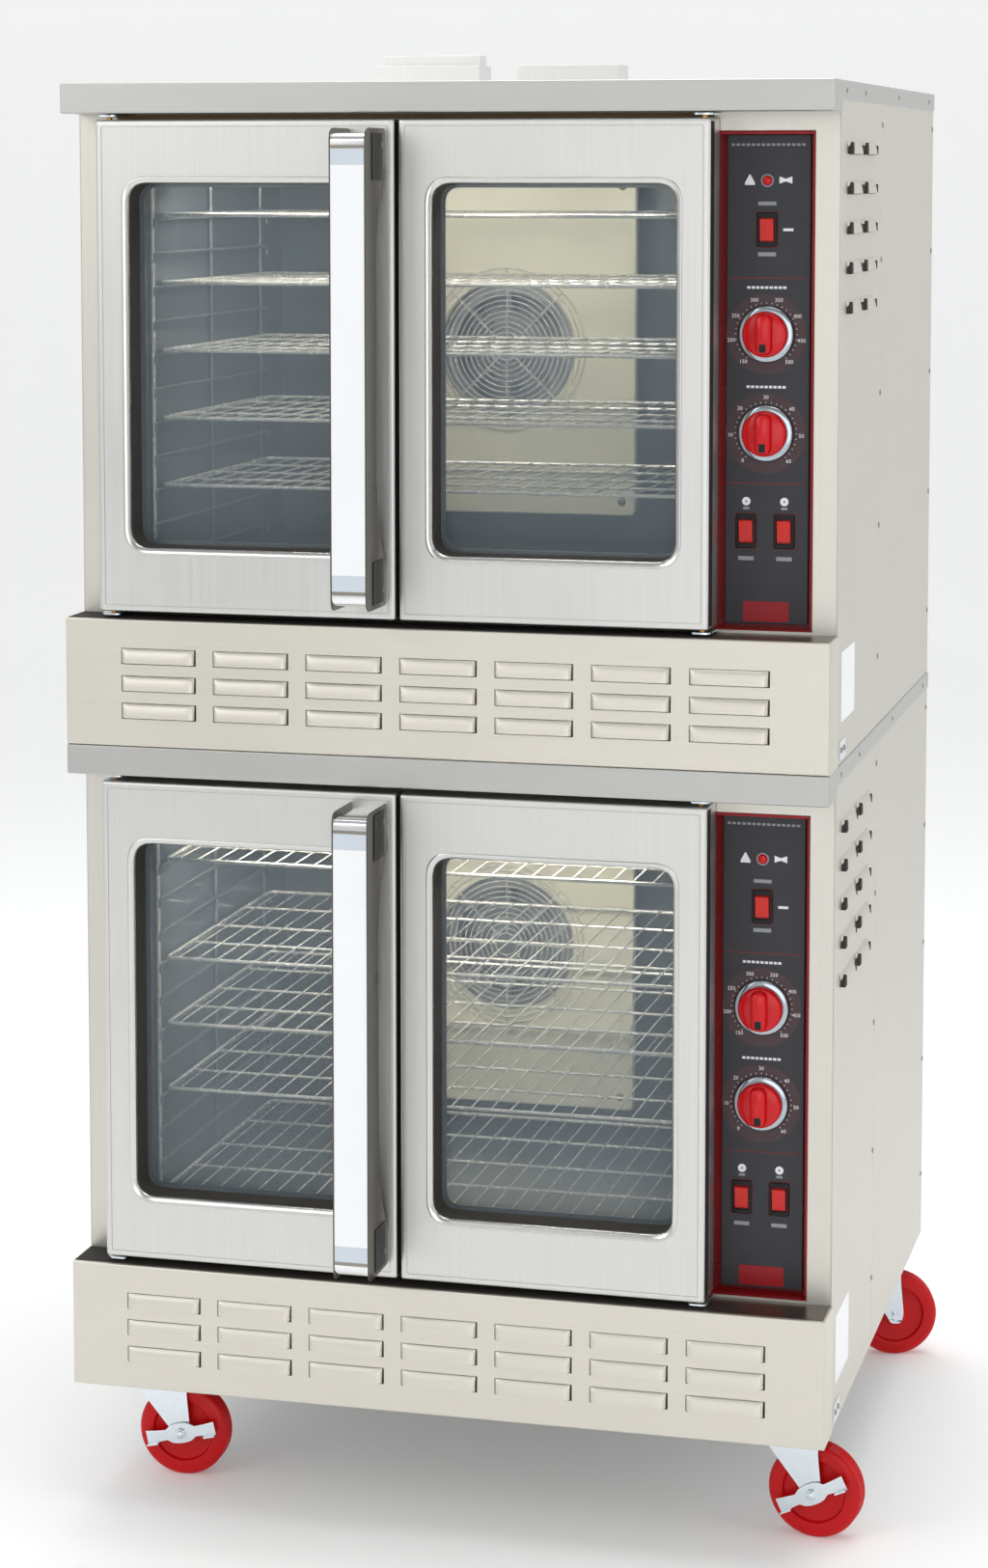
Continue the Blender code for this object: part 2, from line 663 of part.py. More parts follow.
def burner_mesh():
    """Three burner tubes on a cross manifold, with two feet and the gas pipe to the back."""
    manifold_y, manifold_radius = 0.080, 0.016
    rear = 0.560
    manifold = ((PIPE_X - 0.020, manifold_y, BURNER_Z), (0.160, manifold_y, BURNER_Z), manifold_radius)
    burner = Solid(cylinders([manifold], 12))
    tubes = [((x, 0.050, BURNER_Z), (x, rear, BURNER_Z), BURNER_RADIUS) for x in (-0.210, OVEN_X, 0.101)]
    burner.add(cylinders(tubes, 12))
    pipe = ((PIPE_X, manifold_y + 0.004, BURNER_Z), (PIPE_X, PIPE_END, BURNER_Z), PIPE_RADIUS)
    burner.add(cylinders([pipe], 12))
    tie = ((-0.245, rear - 0.040, BURNER_Z - 0.005), (0.136, rear - 0.020, BURNER_Z + 0.005))
    burner.add(boxes([tie]))
    feet = []
    for x in (-0.132, 0.023):
        for y in (manifold_y - 0.006, rear - 0.036):
            feet.append(((x - 0.010, y, SHEET + GAP), (x + 0.010, y + 0.012, BURNER_Z - 0.001)))
    burner.add(boxes(feet))
    return burner.mesh()


# ---------------------------------------------------------------- base, casters and flues
def base_frame():
    """A pan with turned-down edges and a bolt plate with a raceway over each caster."""
    half, front, back = WIDTH / 2 - 0.012, 0.008, BODY_DEPTH - 0.010
    top = DECK_BOTTOM - GAP
    sheet = 0.003
    pan = Solid(boxes([((-half, front, FRAME_BOTTOM), (half, back, top))]))
    under = ((-half + sheet, front + sheet, FRAME_BOTTOM - 0.01), (half - sheet, back - sheet, top - sheet))
    pan.cut(boxes([under]))
    pad_x, pad_y = 0.0525, 0.046
    for x, y, _ in CASTERS.values():
        low = (x - pad_x, y - pad_y, CASTER_PLATE_BOTTOM)
        high = (x + pad_x, y + pad_y, top - sheet / 2)
        pan.add(boxes([(low, high)]))
    return pan.mesh()


def fork_mesh():
    """A caster fork about its swivel axis: raceway, crown, two legs and the axle."""
    crown_low, crown_high = 0.1305, 0.135
    fork = Solid(cylinders([((0, 0, crown_low), (0, 0, CASTER_PLATE_BOTTOM - GAP), 0.036)], 24))
    half = FORK_GAP / 2 + FORK_SHEET
    fork.add(boxes([((-0.026, -half, crown_low), (0.044, half, crown_high))]))
    axle_z = AXLE_HEIGHT
    leg = [(-0.026, crown_high - 0.001), (-0.026, crown_low - 0.010)]
    leg += arc((CASTER_LEAD, axle_z), 0.013, 195, 375, 8)
    leg += [(0.044, crown_low - 0.020), (0.044, crown_high - 0.001)]
    for side in (-1, 1):
        inside, outside = side * FORK_GAP / 2, side * half
        fork.add(prism(leg, "Y", min(inside, outside), max(inside, outside)))
    axle = ((CASTER_LEAD, -AXLE_END, axle_z), (CASTER_LEAD, AXLE_END, axle_z), AXLE_RADIUS)
    fork.add(cylinders([axle], 12))
    return fork.mesh(smooth=True)


def wheel_mesh():
    """A caster wheel with a bore, dished faces and rounded tread edges, about its own axle."""
    half, radius = WHEEL_WIDTH / 2, WHEEL_RADIUS
    side = [
        (AXLE_RADIUS + GAP, 0.017),
        (0.016, 0.017),
        (0.018, half - 0.005),
        (0.041, half - 0.005),
        (0.043, half),
        (radius, half - 0.003),
    ]
    profile = side + [(r, -y) for r, y in reversed(side)]
    tyre = turned(profile, WHEEL_SIDES)
    half_side = Matrix.Rotation(math.pi / WHEEL_SIDES, 3, "Y")
    bmesh.ops.rotate(tyre, verts=tyre.verts, cent=(0, 0, 0), matrix=half_side)
    return Solid(tyre).mesh(smooth=True)


def lever_mesh(tilt):
    """A brake pedal across the axle end, with a hole round the axle."""
    half_length, half_height, sheet = 0.050, 0.009, 0.003
    low = LEVER_Y - sheet
    lever = Solid(boxes([((-half_length, low, -half_height), (half_length, LEVER_Y, half_height))]))
    lever.add(cylinders([((0, low, 0), (0, LEVER_Y, 0), 0.015)], 16))
    pads = []
    for side in (-1, 1):
        ends = sorted((side * (half_length - 0.016), side * half_length))
        pads.append(((ends[0], low - 0.008, -half_height), (ends[1], low + 0.001, sheet - half_height)))
    lever.add(boxes(pads))
    lever.cut(cylinders([((0, low - 0.01, 0), (0, LEVER_Y + 0.01, 0), AXLE_RADIUS + GAP)], 12))
    result = lever.mesh()
    result.transform(Matrix.Rotation(-math.radians(tilt), 4, "Y"))
    return result


def flue_mesh():
    """Two flue outlets on one base strip, which lies on the upper cap."""
    low, high = FLUES[0][0] - 0.012, FLUES[-1][1] + 0.012
    strip = Solid(boxes([((low, FLUE_Y[0] - 0.012, GAP), (high, FLUE_Y[1] + 0.010, 0.002))]))
    ducts = [((x0, FLUE_Y[0], 0.001), (x1, FLUE_Y[1], height)) for x0, x1, height in FLUES]
    strip.add(boxes(ducts))
    x0, x1, height = FLUE_TIER
    strip.add(boxes([((x0, FLUE_Y[0] + 0.025, 0.001), (x1, FLUE_Y[1] - 0.004, height))]))
    bores = []
    for x0, x1, height in (FLUE_TIER, FLUES[1]):
        corner = (x1 - 0.004, FLUE_Y[1] - 0.008, height + 0.01)
        bores.append(((x0 + 0.004, FLUE_Y[0] + 0.029, 0.004), corner))
    strip.cut(boxes(bores))
    return strip.mesh()


# ---------------------------------------------------------------- assembly
def build_deck(prefix, bottom, meshes, finishes):
    def node(part, pivot=(0, 0, 0), parent=None):
        if parent:
            location = (0, 0, 0)
        else:
            location = (pivot[0], pivot[1] + BODY_Y, pivot[2] + bottom)
        return place(meshes[part], prefix + part, location, finishes[part], parent=parent)

    for part in FIXED_PARTS:
        node(part)
    left = node("door_left", (hinge_x(-1), HINGE_Y, 0))
    right = node("door_right", (hinge_x(1), HINGE_Y, 0))
    node("glass_left", parent=left)
    node("handle", parent=left)
    node("glass_right", parent=right)
    for part, z in KNOB_Z.items():
        node(part, (PANEL_X, PLATE_FRONT, z))
    for part, (x, z) in ROCKERS.items():
        node(part, (x, ROCKER_PIVOT_Y, z))
    node("fan_wheel", (OVEN_X, BAFFLE_Y + 0.042, FAN_Z))
    for number, level in enumerate(RACKS[prefix], start=1):
        spot = (OVEN_X, RACK_FRONT + BODY_Y, bottom + RACK_LEVEL_1 + level * RACK_PITCH)
        place(meshes["rack"], f"{prefix}rack_{number}", spot, finishes["rack"])


def build():
    for old in list(bpy.data.objects):
        bpy.data.objects.remove(old)

    steel = material("brushed_stainless_steel", (0.60, 0.59, 0.56), 0.38, 1.0)
    door_steel = material("bright_stainless_steel", (0.68, 0.67, 0.65), 0.32, 1.0)
    enamel = material("grey_porcelain_enamel", (0.16, 0.18, 0.19), 0.35, 0.0)
    galvanised = material("galvanised_steel", (0.45, 0.46, 0.46), 0.45, 1.0)
    chrome = material("chrome_plate", (0.80, 0.81, 0.82), 0.12, 1.0)
    handle_chrome = material("handle_chrome", (0.82, 0.82, 0.82), 0.15, 1.0)
    glass = material("dark_door_glass", (0.10, 0.12, 0.13), 0.05, 0.0)
    black = material("charcoal_panel", (0.05, 0.05, 0.055), 0.40, 0.0)
    knob_red = material("red_knob_plastic", (0.55, 0.02, 0.02), 0.30, 0.0)
    rocker_red = material("red_rocker_plastic", (0.60, 0.05, 0.03), 0.25, 0.0)
    cast = material("painted_cast_iron", (0.04, 0.04, 0.045), 0.55, 0.3)
    baffle_paint = material("beige_baffle_steel", (0.42, 0.40, 0.33), 0.40, 0.6)
    motor_paint = material("black_motor_paint", (0.03, 0.03, 0.03), 0.50, 0.0)
    urethane = material("red_polyurethane", (0.55, 0.02, 0.015), 0.35, 0.0)
    frame_paint = material("grey_frame_paint", (0.25, 0.25, 0.25), 0.50, 0.2)

    knob = knob_mesh()
    rocker = rocker_mesh()
    parts = {
        "cabinet": (cabinet_mesh(), steel),
        "top_cap": (cap_mesh(), steel),
        "skirt": (skirt_mesh(), steel),
        "cavity": (liner_mesh(), enamel),
        "control_panel": (panel_mesh(), black),
        "fan_baffle": (baffle_mesh(), baffle_paint),
        "fan_motor": (motor_mesh(), motor_paint),
        "burner": (burner_mesh(), cast),
        "door_left": (door_mesh(-1), door_steel),
        "door_right": (door_mesh(1), door_steel),
        "glass_left": (glass_mesh(-1), glass),
        "glass_right": (glass_mesh(1), glass),
        "handle": (handle_mesh(), handle_chrome),
        "temp_knob": (knob, knob_red),
        "timer_knob": (knob, knob_red),
        "rocker_power": (rocker, rocker_red),
        "rocker_light": (rocker, rocker_red),
        "rocker_fan": (rocker, rocker_red),
        "fan_wheel": (fan_mesh(), galvanised),
        "rack": (rack_mesh(), chrome),
    }
    meshes = {part: mesh for part, (mesh, _) in parts.items()}
    finishes = {part: finish for part, (_, finish) in parts.items()}
    for prefix, bottom in DECKS.items():
        build_deck(prefix, bottom, meshes, finishes)

    place(base_frame(), "base_frame", (0, BODY_Y, 0), frame_paint)
    place(flue_mesh(), "flue_vents", (0, BODY_Y, DECKS["upper_"] + DECK_HEIGHT), steel)
    fork, wheel = fork_mesh(), wheel_mesh()
    for corner, (x, y, turn) in CASTERS.items():
        holder = place(fork, "caster_fork_" + corner, (x, y + BODY_Y, 0), chrome, turn)
        axle = (CASTER_LEAD, 0, AXLE_HEIGHT)
        place(wheel, "caster_wheel_" + corner, axle, urethane, parent=holder)
        if corner in LEVER_TILT:
            place(lever_mesh(LEVER_TILT[corner]), "brake_lever_" + corner, axle, chrome, parent=holder)


build()
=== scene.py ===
# %% [markdown]
# # A double-deck convection oven
#
# Two equal oven decks stand on a base with four casters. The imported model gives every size, so
# this lesson starts by loading it, and then dresses it: pressed steel, glass, wire, plastic.

# %% Load the frame
import json
import math

import bmesh
import bpy
import numpy as np
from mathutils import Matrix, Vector


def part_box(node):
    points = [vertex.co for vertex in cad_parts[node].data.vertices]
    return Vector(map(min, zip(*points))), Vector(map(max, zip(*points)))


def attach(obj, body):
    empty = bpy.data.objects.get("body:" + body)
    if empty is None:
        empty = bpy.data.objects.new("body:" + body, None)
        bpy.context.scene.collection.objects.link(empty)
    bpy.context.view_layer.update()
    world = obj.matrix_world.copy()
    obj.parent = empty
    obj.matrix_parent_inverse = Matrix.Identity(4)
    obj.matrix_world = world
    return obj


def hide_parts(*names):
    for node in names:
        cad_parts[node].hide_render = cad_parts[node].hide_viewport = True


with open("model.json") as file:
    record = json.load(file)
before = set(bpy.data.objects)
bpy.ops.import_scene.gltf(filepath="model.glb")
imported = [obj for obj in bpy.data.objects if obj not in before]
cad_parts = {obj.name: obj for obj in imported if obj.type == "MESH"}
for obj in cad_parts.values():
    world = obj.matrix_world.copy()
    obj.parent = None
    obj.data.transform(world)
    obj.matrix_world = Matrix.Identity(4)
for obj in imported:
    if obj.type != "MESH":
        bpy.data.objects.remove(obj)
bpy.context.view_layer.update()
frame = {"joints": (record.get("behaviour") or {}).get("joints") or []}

# %% [markdown]
# ## Where the decks are
#
# Both decks are the same, so every shape is drawn once, with Y = 0 on the front face of the
# cabinet and Z = 0 under the deck. `origin` is where that corner lies for each deck.

# %% Deck origins and node boxes
DECKS = ("lower_", "upper_")
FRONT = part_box("lower_cavity")[0].y - 0.001


def origin(deck):
    return np.array((0.0, FRONT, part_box(deck + "skirt")[0].z))


def local(node):
    """Lowest and highest corner of a node, measured in the lower deck."""
    low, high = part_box("lower_" + node)
    return np.array(low) - origin("lower_"), np.array(high) - origin("lower_")


print("deck bottoms:", [round(float(origin(deck)[2]), 4) for deck in DECKS])

# %% [markdown]
# ## Surfaces from grids
#
# A grid of points becomes quads by joining each point to its neighbours in the next row and
# column. Almost every piece here is rings of points joined one to the next, which is a loft.


# %% Grids, outlines and lofts
def grid(rows, columns, loop_rows=False, loop_columns=False):
    """Quads that join the points of a grid; a looped direction also joins its last to its first."""
    r = np.arange(rows if loop_rows else rows - 1)[:, None]
    c = np.arange(columns if loop_columns else columns - 1)[None, :]
    below, beside = (r + 1) % rows * columns, (c + 1) % columns
    quads = np.stack([r * columns + c, r * columns + beside, below + beside, below + c], -1)
    return quads.reshape(-1, 4)


def fillet(corners, radius, steps=6, closed=True):
    """Corners rounded by (1-t)^2 a + 2 t (1-t) p + t^2 b, a and b one radius before and after p."""
    corners = np.asarray(corners, float)
    before, after = np.roll(corners, 1, 0) - corners, np.roll(corners, -1, 0) - corners
    radius = np.broadcast_to(radius, len(corners))[:, None]
    a = corners + radius * before / np.linalg.norm(before, axis=1, keepdims=True)
    b = corners + radius * after / np.linalg.norm(after, axis=1, keepdims=True)
    t = np.linspace(0, 1, steps + 1)[None, :, None]
    curve = (1 - t) ** 2 * a[:, None] + 2 * t * (1 - t) * corners[:, None] + t**2 * b[:, None]
    if closed:
        return curve.reshape(-1, corners.shape[1])
    middle = curve[1:-1].reshape(-1, corners.shape[1])
    return np.concatenate([corners[:1], middle, corners[-1:]])


def rectangle(low, high):
    """Four corners, anticlockwise from the lowest."""
    return np.array([(low[0], low[1]), (high[0], low[1]), (high[0], high[1]), (low[0], high[1])])


def rounded(low, high, radius, steps=6):
    return fillet(rectangle(low, high), radius, steps)


def lay(outline, plane, depth):
    """A flat outline put in space: its numbers run along the two axes named by plane."""
    first, second = "XYZ".index(plane[0]), "XYZ".index(plane[1])
    points = np.empty((len(outline), 3))
    points[:, first], points[:, second] = outline[:, 0], outline[:, 1]
    points[:, 3 - first - second] = depth
    return points


def loft(rings, closed=False):
    """Rings of points joined one to the next; the two end rings get flat faces unless closed."""
    rings = np.asarray(rings, float)
    rows, columns = rings.shape[:2]
    skin = [(rings.reshape(-1, 3), grid(rows, columns, closed, True))]
    if closed:
        return skin
    cap = np.arange(columns)[None]
    return skin + [(rings[0], cap), (rings[-1], cap)]


def extruded(outline, plane, start, end):
    """A flat outline drawn out along the third axis from start to end."""
    outline = np.asarray(outline, float)
    return loft([lay(outline, plane, start), lay(outline, plane, end)])


def block(low, high):
    return extruded(rectangle(low[:2], high[:2]), "XY", low[2], high[2])


# %% [markdown]
# ## Round things
#
# A turned piece is a profile of (radius, height) points carried round an axis: the point at
# angle a is centre + radius * (cos a, sin a) + height along the axis. A bar is a small circle
# carried along a path, square to the path's direction.


# %% Turned pieces and bars
def turned(profile, centre, axis="Y", steps=40, closed=False):
    """Each profile point (radius, height) carried round the axis in equal steps."""
    profile = np.asarray(profile, float)
    angle = np.arange(steps) * 2 * np.pi / steps
    along = "XYZ".index(axis)
    rings = np.empty((len(profile), steps, 3))
    rings[..., (along + 1) % 3] = profile[:, :1] * np.cos(angle)
    rings[..., (along + 2) % 3] = profile[:, :1] * np.sin(angle)
    rings[..., along] = profile[:, 1:]
    return loft(rings + np.asarray(centre, float), closed)


def bar(path, radius, sides=8, closed=False, up=(0, 0, 1)):
    """A circle at each path point, spanned by side = along x up and top = side x along."""
    path = np.asarray(path, float)
    if closed:
        along = np.roll(path, -1, 0) - np.roll(path, 1, 0)
    else:
        along = np.gradient(path, axis=0)
    along /= np.linalg.norm(along, axis=1, keepdims=True)
    side = np.cross(along, up)
    side /= np.linalg.norm(side, axis=1, keepdims=True)
    top = np.cross(side, along)
    angle = (np.arange(sides) * 2 * np.pi / sides)[None, :, None]
    rings = path[:, None] + radius * (np.cos(angle) * side[:, None] + np.sin(angle) * top[:, None])
    return loft(rings, closed)


def shifted(patches, offset):
    return [(points + np.asarray(offset, float), faces) for points, faces in patches]


def rotated(patches, degrees, axis="Z"):
    """Turned about an axis through the origin, by the right-hand rule."""
    a, along = math.radians(degrees), "XYZ".index(axis)
    u, v = (along + 1) % 3, (along + 2) % 3
    turn = np.eye(3)
    turn[u, u] = turn[v, v] = math.cos(a)
    turn[u, v], turn[v, u] = -math.sin(a), math.sin(a)
    return [(points @ turn.T, faces) for points, faces in patches]


# %% [markdown]
# ## From patches to a piece
#
# Patches are joined, points that coincide are merged, and the faces are turned outwards. A thin
# bevel gives folded sheet its bright edge. Each piece then rides on a body of the frame.


# %% Making pieces
made = []


def piece(name, patches, finish, body="root", slot=None, replaces=(), shift=(0, 0, 0), **look):
    points = np.concatenate([p for p, _ in patches]) + np.asarray(shift, float)
    starts = np.cumsum([0] + [len(p) for p, _ in patches[:-1]])
    faces = [f + start for (_, f), start in zip(patches, starts)]
    corners = np.concatenate([f.ravel() for f in faces])
    sizes = np.concatenate([np.full(len(f), f.shape[1]) for f in faces])
    mesh = bpy.data.meshes.new(name)
    mesh.vertices.add(len(points))
    mesh.vertices.foreach_set("co", points.ravel())
    mesh.loops.add(len(corners))
    mesh.loops.foreach_set("vertex_index", corners)
    mesh.polygons.add(len(sizes))
    mesh.polygons.foreach_set("loop_start", np.cumsum(sizes) - sizes)
    mesh.update(calc_edges=True)
    merged = bmesh.new()
    merged.from_mesh(mesh)
    bmesh.ops.remove_doubles(merged, verts=merged.verts, dist=1e-6)
    bmesh.ops.recalc_face_normals(merged, faces=merged.faces)
    merged.to_mesh(mesh)
    merged.free()
    mesh.materials.append(finish)
    made_piece = bpy.data.objects.new(name, mesh)
    bpy.context.scene.collection.objects.link(made_piece)
    mesh.shade_smooth()
    if look.get("bevel"):
        edge = made_piece.modifiers.new("folded edge", "BEVEL")
        edge.width, edge.segments = look["bevel"], look.get("segments", 2)
        edge.limit_method, edge.angle_limit = "ANGLE", math.radians(40)
        edge.harden_normals = True
    else:
        mesh.set_sharp_from_angle(angle=math.radians(look.get("smooth", 35)))
    if body:
        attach(made_piece, body)
    if replaces:
        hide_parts(*replaces)
    made.append(name)
    return made_piece


def on_decks(name, patches, finish, body="root", slot=None, replaces=(), **look):
    """The same piece on both decks."""
    for deck in DECKS:
        rider = body if body == "root" else deck + body
        nodes = [deck + node for node in replaces]
        piece(deck + name, patches, finish, rider, slot, nodes, origin(deck), **look)


# %% [markdown]
# ## Shader maths
#
# `Value` wraps a socket, so that an expression such as `grain * 0.1 + 0.95` adds the Math nodes.
# `Finish` owns one material, and its `node` method makes any other node.


# %% A small language for materials
class Value:
    """A number, colour or vector on its way through the nodes of one material."""

    def __init__(self, finish, socket):
        self.finish, self.socket = finish, socket

    def math(self, operation, first, second):
        return self.finish.node("ShaderNodeMath", {"operation": operation}, {0: first, 1: second})

    def __add__(self, other):
        return self.math("ADD", self, other)

    def __radd__(self, other):
        return self.math("ADD", other, self)

    def __mul__(self, other):
        return self.math("MULTIPLY", self, other)

    def __rmul__(self, other):
        return self.math("MULTIPLY", other, self)


class Finish:
    """One material: a Principled shader and the nodes that feed it."""

    def __init__(self, name):
        self.material = bpy.data.materials.new(name)
        self.material.use_nodes = True
        self.tree = self.material.node_tree
        self.shader = self.tree.nodes["Principled BSDF"]
        self.place = self.node("ShaderNodeTexCoord", output="Object")

    def node(self, kind, settings={}, values={}, output=0):
        new = self.tree.nodes.new(kind)
        for key, setting in settings.items():
            if key == "stops":
                ramp = new.color_ramp.elements
                ramp[0].position, ramp[0].color = setting[0]
                ramp[1].position, ramp[1].color = setting[-1]
                for position, colour in setting[1:-1]:
                    ramp.new(position).color = colour
            else:
                setattr(new, key, setting)
        for socket, value in values.items():
            self.feed(new.inputs[socket], value)
        return Value(self, new.outputs[output])

    def feed(self, socket, value):
        if isinstance(value, Value):
            self.tree.links.new(value.socket, socket)
        else:
            socket.default_value = value

    def noise(self, scale, detail=2.0, rough=0.5):
        """Cloudy noise, stretched by a scale along X, Y and Z (in features per metre)."""
        scale = scale if isinstance(scale, tuple) else (scale,) * 3
        spot = self.node("ShaderNodeMapping", {}, {"Vector": self.place, "Scale": scale})
        values = {"Vector": spot, "Scale": 1.0, "Detail": detail, "Roughness": rough}
        return self.node("ShaderNodeTexNoise", {}, values, "Fac")

    def ramp(self, value, *stops):
        return self.node("ShaderNodeValToRGB", {"stops": stops}, {0: value}, "Color")

    def mix(self, factor, a, b):
        return self.node("ShaderNodeMix", {"data_type": "RGBA"}, {0: factor, 6: a, 7: b}, 2)

    def times(self, colour, factor):
        values = {0: colour[:3] if isinstance(colour, tuple) else colour, "Scale": factor}
        return self.node("ShaderNodeVectorMath", {"operation": "SCALE"}, values, 0)

    def bump(self, height, strength, distance):
        values = {"Height": height, "Strength": strength, "Distance": distance}
        return self.node("ShaderNodeBump", {}, values, "Normal")

    def wear(self, value):
        """1 where a slowly changing value is near its top, else 0, with a soft step."""
        return self.node("ShaderNodeMapRange", {"interpolation_type": "SMOOTHSTEP"},
                         {"Value": value, "From Min": 0.55, "From Max": 0.75}, "Result")

    def set(self, **inputs):
        for name, value in inputs.items():
            self.feed(self.shader.inputs[name.replace("_", " ").title()], value)
        return self.material


def rgb(red, green, blue):
    """A colour given by its screen values from 0 to 255, in linear light."""
    c = np.array((red, green, blue)) / 255
    linear = np.where(c <= 0.04045, c / 12.92, ((c + 0.055) / 1.055) ** 2.4)
    return (*[float(v) for v in linear], 1.0)


# %% [markdown]
# ## Stainless steel
#
# Sheet steel is brushed along one direction, so its grain is noise that is stretched a few
# hundred times. The grain changes the roughness more than the colour. A slow cloud on top
# stands for handling marks, which dull the sheen in soft patches.


# %% Brushed and plated metal
def brushed(name, colour, roughness, grain, marks=0.07, depth=0.00012):
    f = Finish(name)
    lines = f.noise(grain, 3.0, 0.6)
    cloud = f.noise(3.1, 3.0)
    tone = lines * 0.13 + cloud * 0.07 + 0.90
    sheen = lines * 0.16 + cloud * marks * 2 + (roughness - 0.08 - marks)
    return f.set(base_color=f.times(colour, tone), roughness=sheen, metallic=1.0,
                 normal=f.bump(lines, 0.25, depth))


cabinet_steel = brushed("brushed_cabinet_steel", rgb(212, 209, 201), 0.42, (420, 420, 5))
side_steel = brushed("brushed_side_steel", rgb(209, 206, 198), 0.46, (420, 4, 420))
skirt_steel = brushed("brushed_skirt_steel", rgb(216, 212, 202), 0.45, (5, 420, 420))
cap_steel = brushed("brushed_cap_steel", rgb(190, 190, 187), 0.42, (4, 420, 420))
door_steel = brushed("brushed_door_steel", rgb(214, 214, 211), 0.40, (420, 420, 5), 0.09)
trim_steel = brushed("polished_trim_steel", rgb(212, 212, 209), 0.22, (500, 500, 30), 0.03)
flue_steel = brushed("flue_steel", rgb(228, 228, 226), 0.34, (420, 420, 6))


def plated(name, colour, roughness, spots=60, metal=1.0):
    """Bright plating with small cloudy changes of sheen; less metal lets a thin wire stay pale."""
    f = Finish(name)
    cloud = f.noise(spots, 4.0, 0.6)
    return f.set(base_color=f.times(colour, cloud * 0.12 + 0.94), metallic=metal,
                 roughness=cloud * 0.16 + (roughness - 0.08), normal=f.bump(cloud, 0.10, 0.0002))


zinc = plated("bright_zinc_plate", rgb(226, 234, 240), 0.22, 90)
wire_chrome = plated("bright_wire", rgb(246, 243, 232), 0.26, 140, 0.35)
# a darker copy of the bright wire, painted shade for the guides inside the oven
shaded_guide_wire = plated("guide_wire_painted_shade", rgb(138, 142, 144), 0.35, 140, 0.5)
knob_chrome = plated("knob_chrome", rgb(176, 186, 194), 0.12, 200)
handle_chrome = plated("handle_chrome", rgb(238, 239, 240), 0.16, 25)
# dark metal of the handle flanges, also laid on the skirt top as painted shade
handle_side_and_ledge_shade_metal = plated("handle_side_and_ledge_shade_metal", rgb(96, 90, 82), 0.30, 14, 0.8)
screw_steel = plated("screw_steel", rgb(150, 146, 138), 0.35, 300)
brass = plated("brass_pin", rgb(190, 140, 70), 0.30, 200)

# %% [markdown]
# ## Galvanised sheet, enamel and cast iron
#
# Galvanised sheet shows crystals, which are Voronoi cells of slightly different tone. Porcelain
# enamel is a glassy coat over a dark ground with pale specks. A burner is raw cast iron.


# %% Other metal finishes
def galvanised(name, colour):
    f = Finish(name)
    cells = f.node("ShaderNodeTexVoronoi", {}, {"Vector": f.place, "Scale": 70.0}, "Color")
    tone = f.node("ShaderNodeSeparateColor", {}, {0: cells}, 0)
    return f.set(base_color=f.times(colour, tone * 0.25 + 0.80), metallic=1.0,
                 roughness=tone * 0.25 + 0.32)


def enamel(name, colour, speck, amount=0.62, roughness=0.22):
    f = Finish(name)
    fine = f.noise(420, 2.0, 0.7)
    stain = f.noise(6.0, 4.0)
    specks = f.wear(fine * (1.0 / amount) * 0.62)
    ground = f.times(colour, stain * 0.30 + 0.85)
    return f.set(base_color=f.mix(specks * 0.5, ground, speck), roughness=stain * 0.2 + roughness,
                 coat_weight=0.5, normal=f.bump(stain, 0.15, 0.001))


def cast(name, colour):
    f = Finish(name)
    sand = f.noise(300, 5.0, 0.7)
    heat = f.noise(9, 2.0)
    return f.set(base_color=f.mix(f.wear(heat), colour, rgb(92, 70, 54)), metallic=0.7,
                 roughness=sand * 0.3 + 0.5, normal=f.bump(sand, 0.5, 0.0008))


zinc_sheet = galvanised("galvanised_sheet", rgb(176, 178, 178))
fan_metal = galvanised("aluminised_fan", rgb(176, 178, 178))
liner_enamel = enamel("grey_liner_enamel", rgb(96, 104, 110), rgb(138, 144, 148))
baffle_enamel = enamel("beige_baffle_enamel", rgb(246, 240, 212), rgb(252, 248, 228))
motor_enamel = enamel("black_motor_enamel", rgb(36, 36, 38), rgb(60, 60, 62))
frame_paint = enamel("grey_frame_paint", rgb(128, 128, 128), rgb(150, 150, 150), 0.7, 0.4)
burner_iron = cast("burner_iron", rgb(70, 70, 74))

# %% [markdown]
# ## Plastics, rubber, print and glass
#
# Moulded plastic is one colour with a fine orange-peel skin and a thin clear gloss. The overlay
# of the panel is matt. The door glass is tinted: its alpha lets part of the light through, and
# its smooth face mirrors the room.


# %% Plastics and glass
def moulded(name, colour, roughness, peel=900, coat=0.3, dust=0.10, gloss=0.5):
    f = Finish(name)
    f.shader.inputs["Specular IOR Level"].default_value = gloss
    skin = f.noise(peel, 2.0)
    cloud = f.noise(14, 3.0)
    return f.set(base_color=f.times(colour, cloud * dust * 2 + (1 - dust)), coat_weight=coat,
                 roughness=cloud * 0.12 + (roughness - 0.06), normal=f.bump(skin, 0.12, 0.0001))


overlay = moulded("charcoal_overlay", rgb(56, 57, 62), 0.42, 1400, 0.05, 0.06, 0.3)
tray_red = moulded("red_tray_enamel", rgb(134, 8, 14), 0.28, 500, 0.2, 0.1, 0.4)
# a brighter red for the badge, also used as painted light on the tray's edges
badge_and_lit_tray_red = moulded("red_enamel_and_painted_light", rgb(158, 16, 28), 0.34, 500, 0.1, 0.1, 0.3)
knob_red = moulded("red_knob_plastic", rgb(206, 4, 16), 0.24, 1200, 0.1, 0.08, 0.35)
rocker_red = moulded("red_rocker_plastic", rgb(212, 36, 28), 0.28, 1200, 0.1, 0.08, 0.35)
black_plastic = moulded("black_plastic", rgb(16, 16, 18), 0.36, 1200, 0.0, 0.1, 0.3)
urethane = moulded("red_polyurethane", rgb(196, 5, 12), 0.38, 400, 0.06, 0.12, 0.25)
white_print = moulded("white_ink", rgb(240, 242, 244), 0.5, 1400, 0.0)
grey_print = moulded("grey_ink", rgb(150, 154, 160), 0.5, 1400, 0.0)
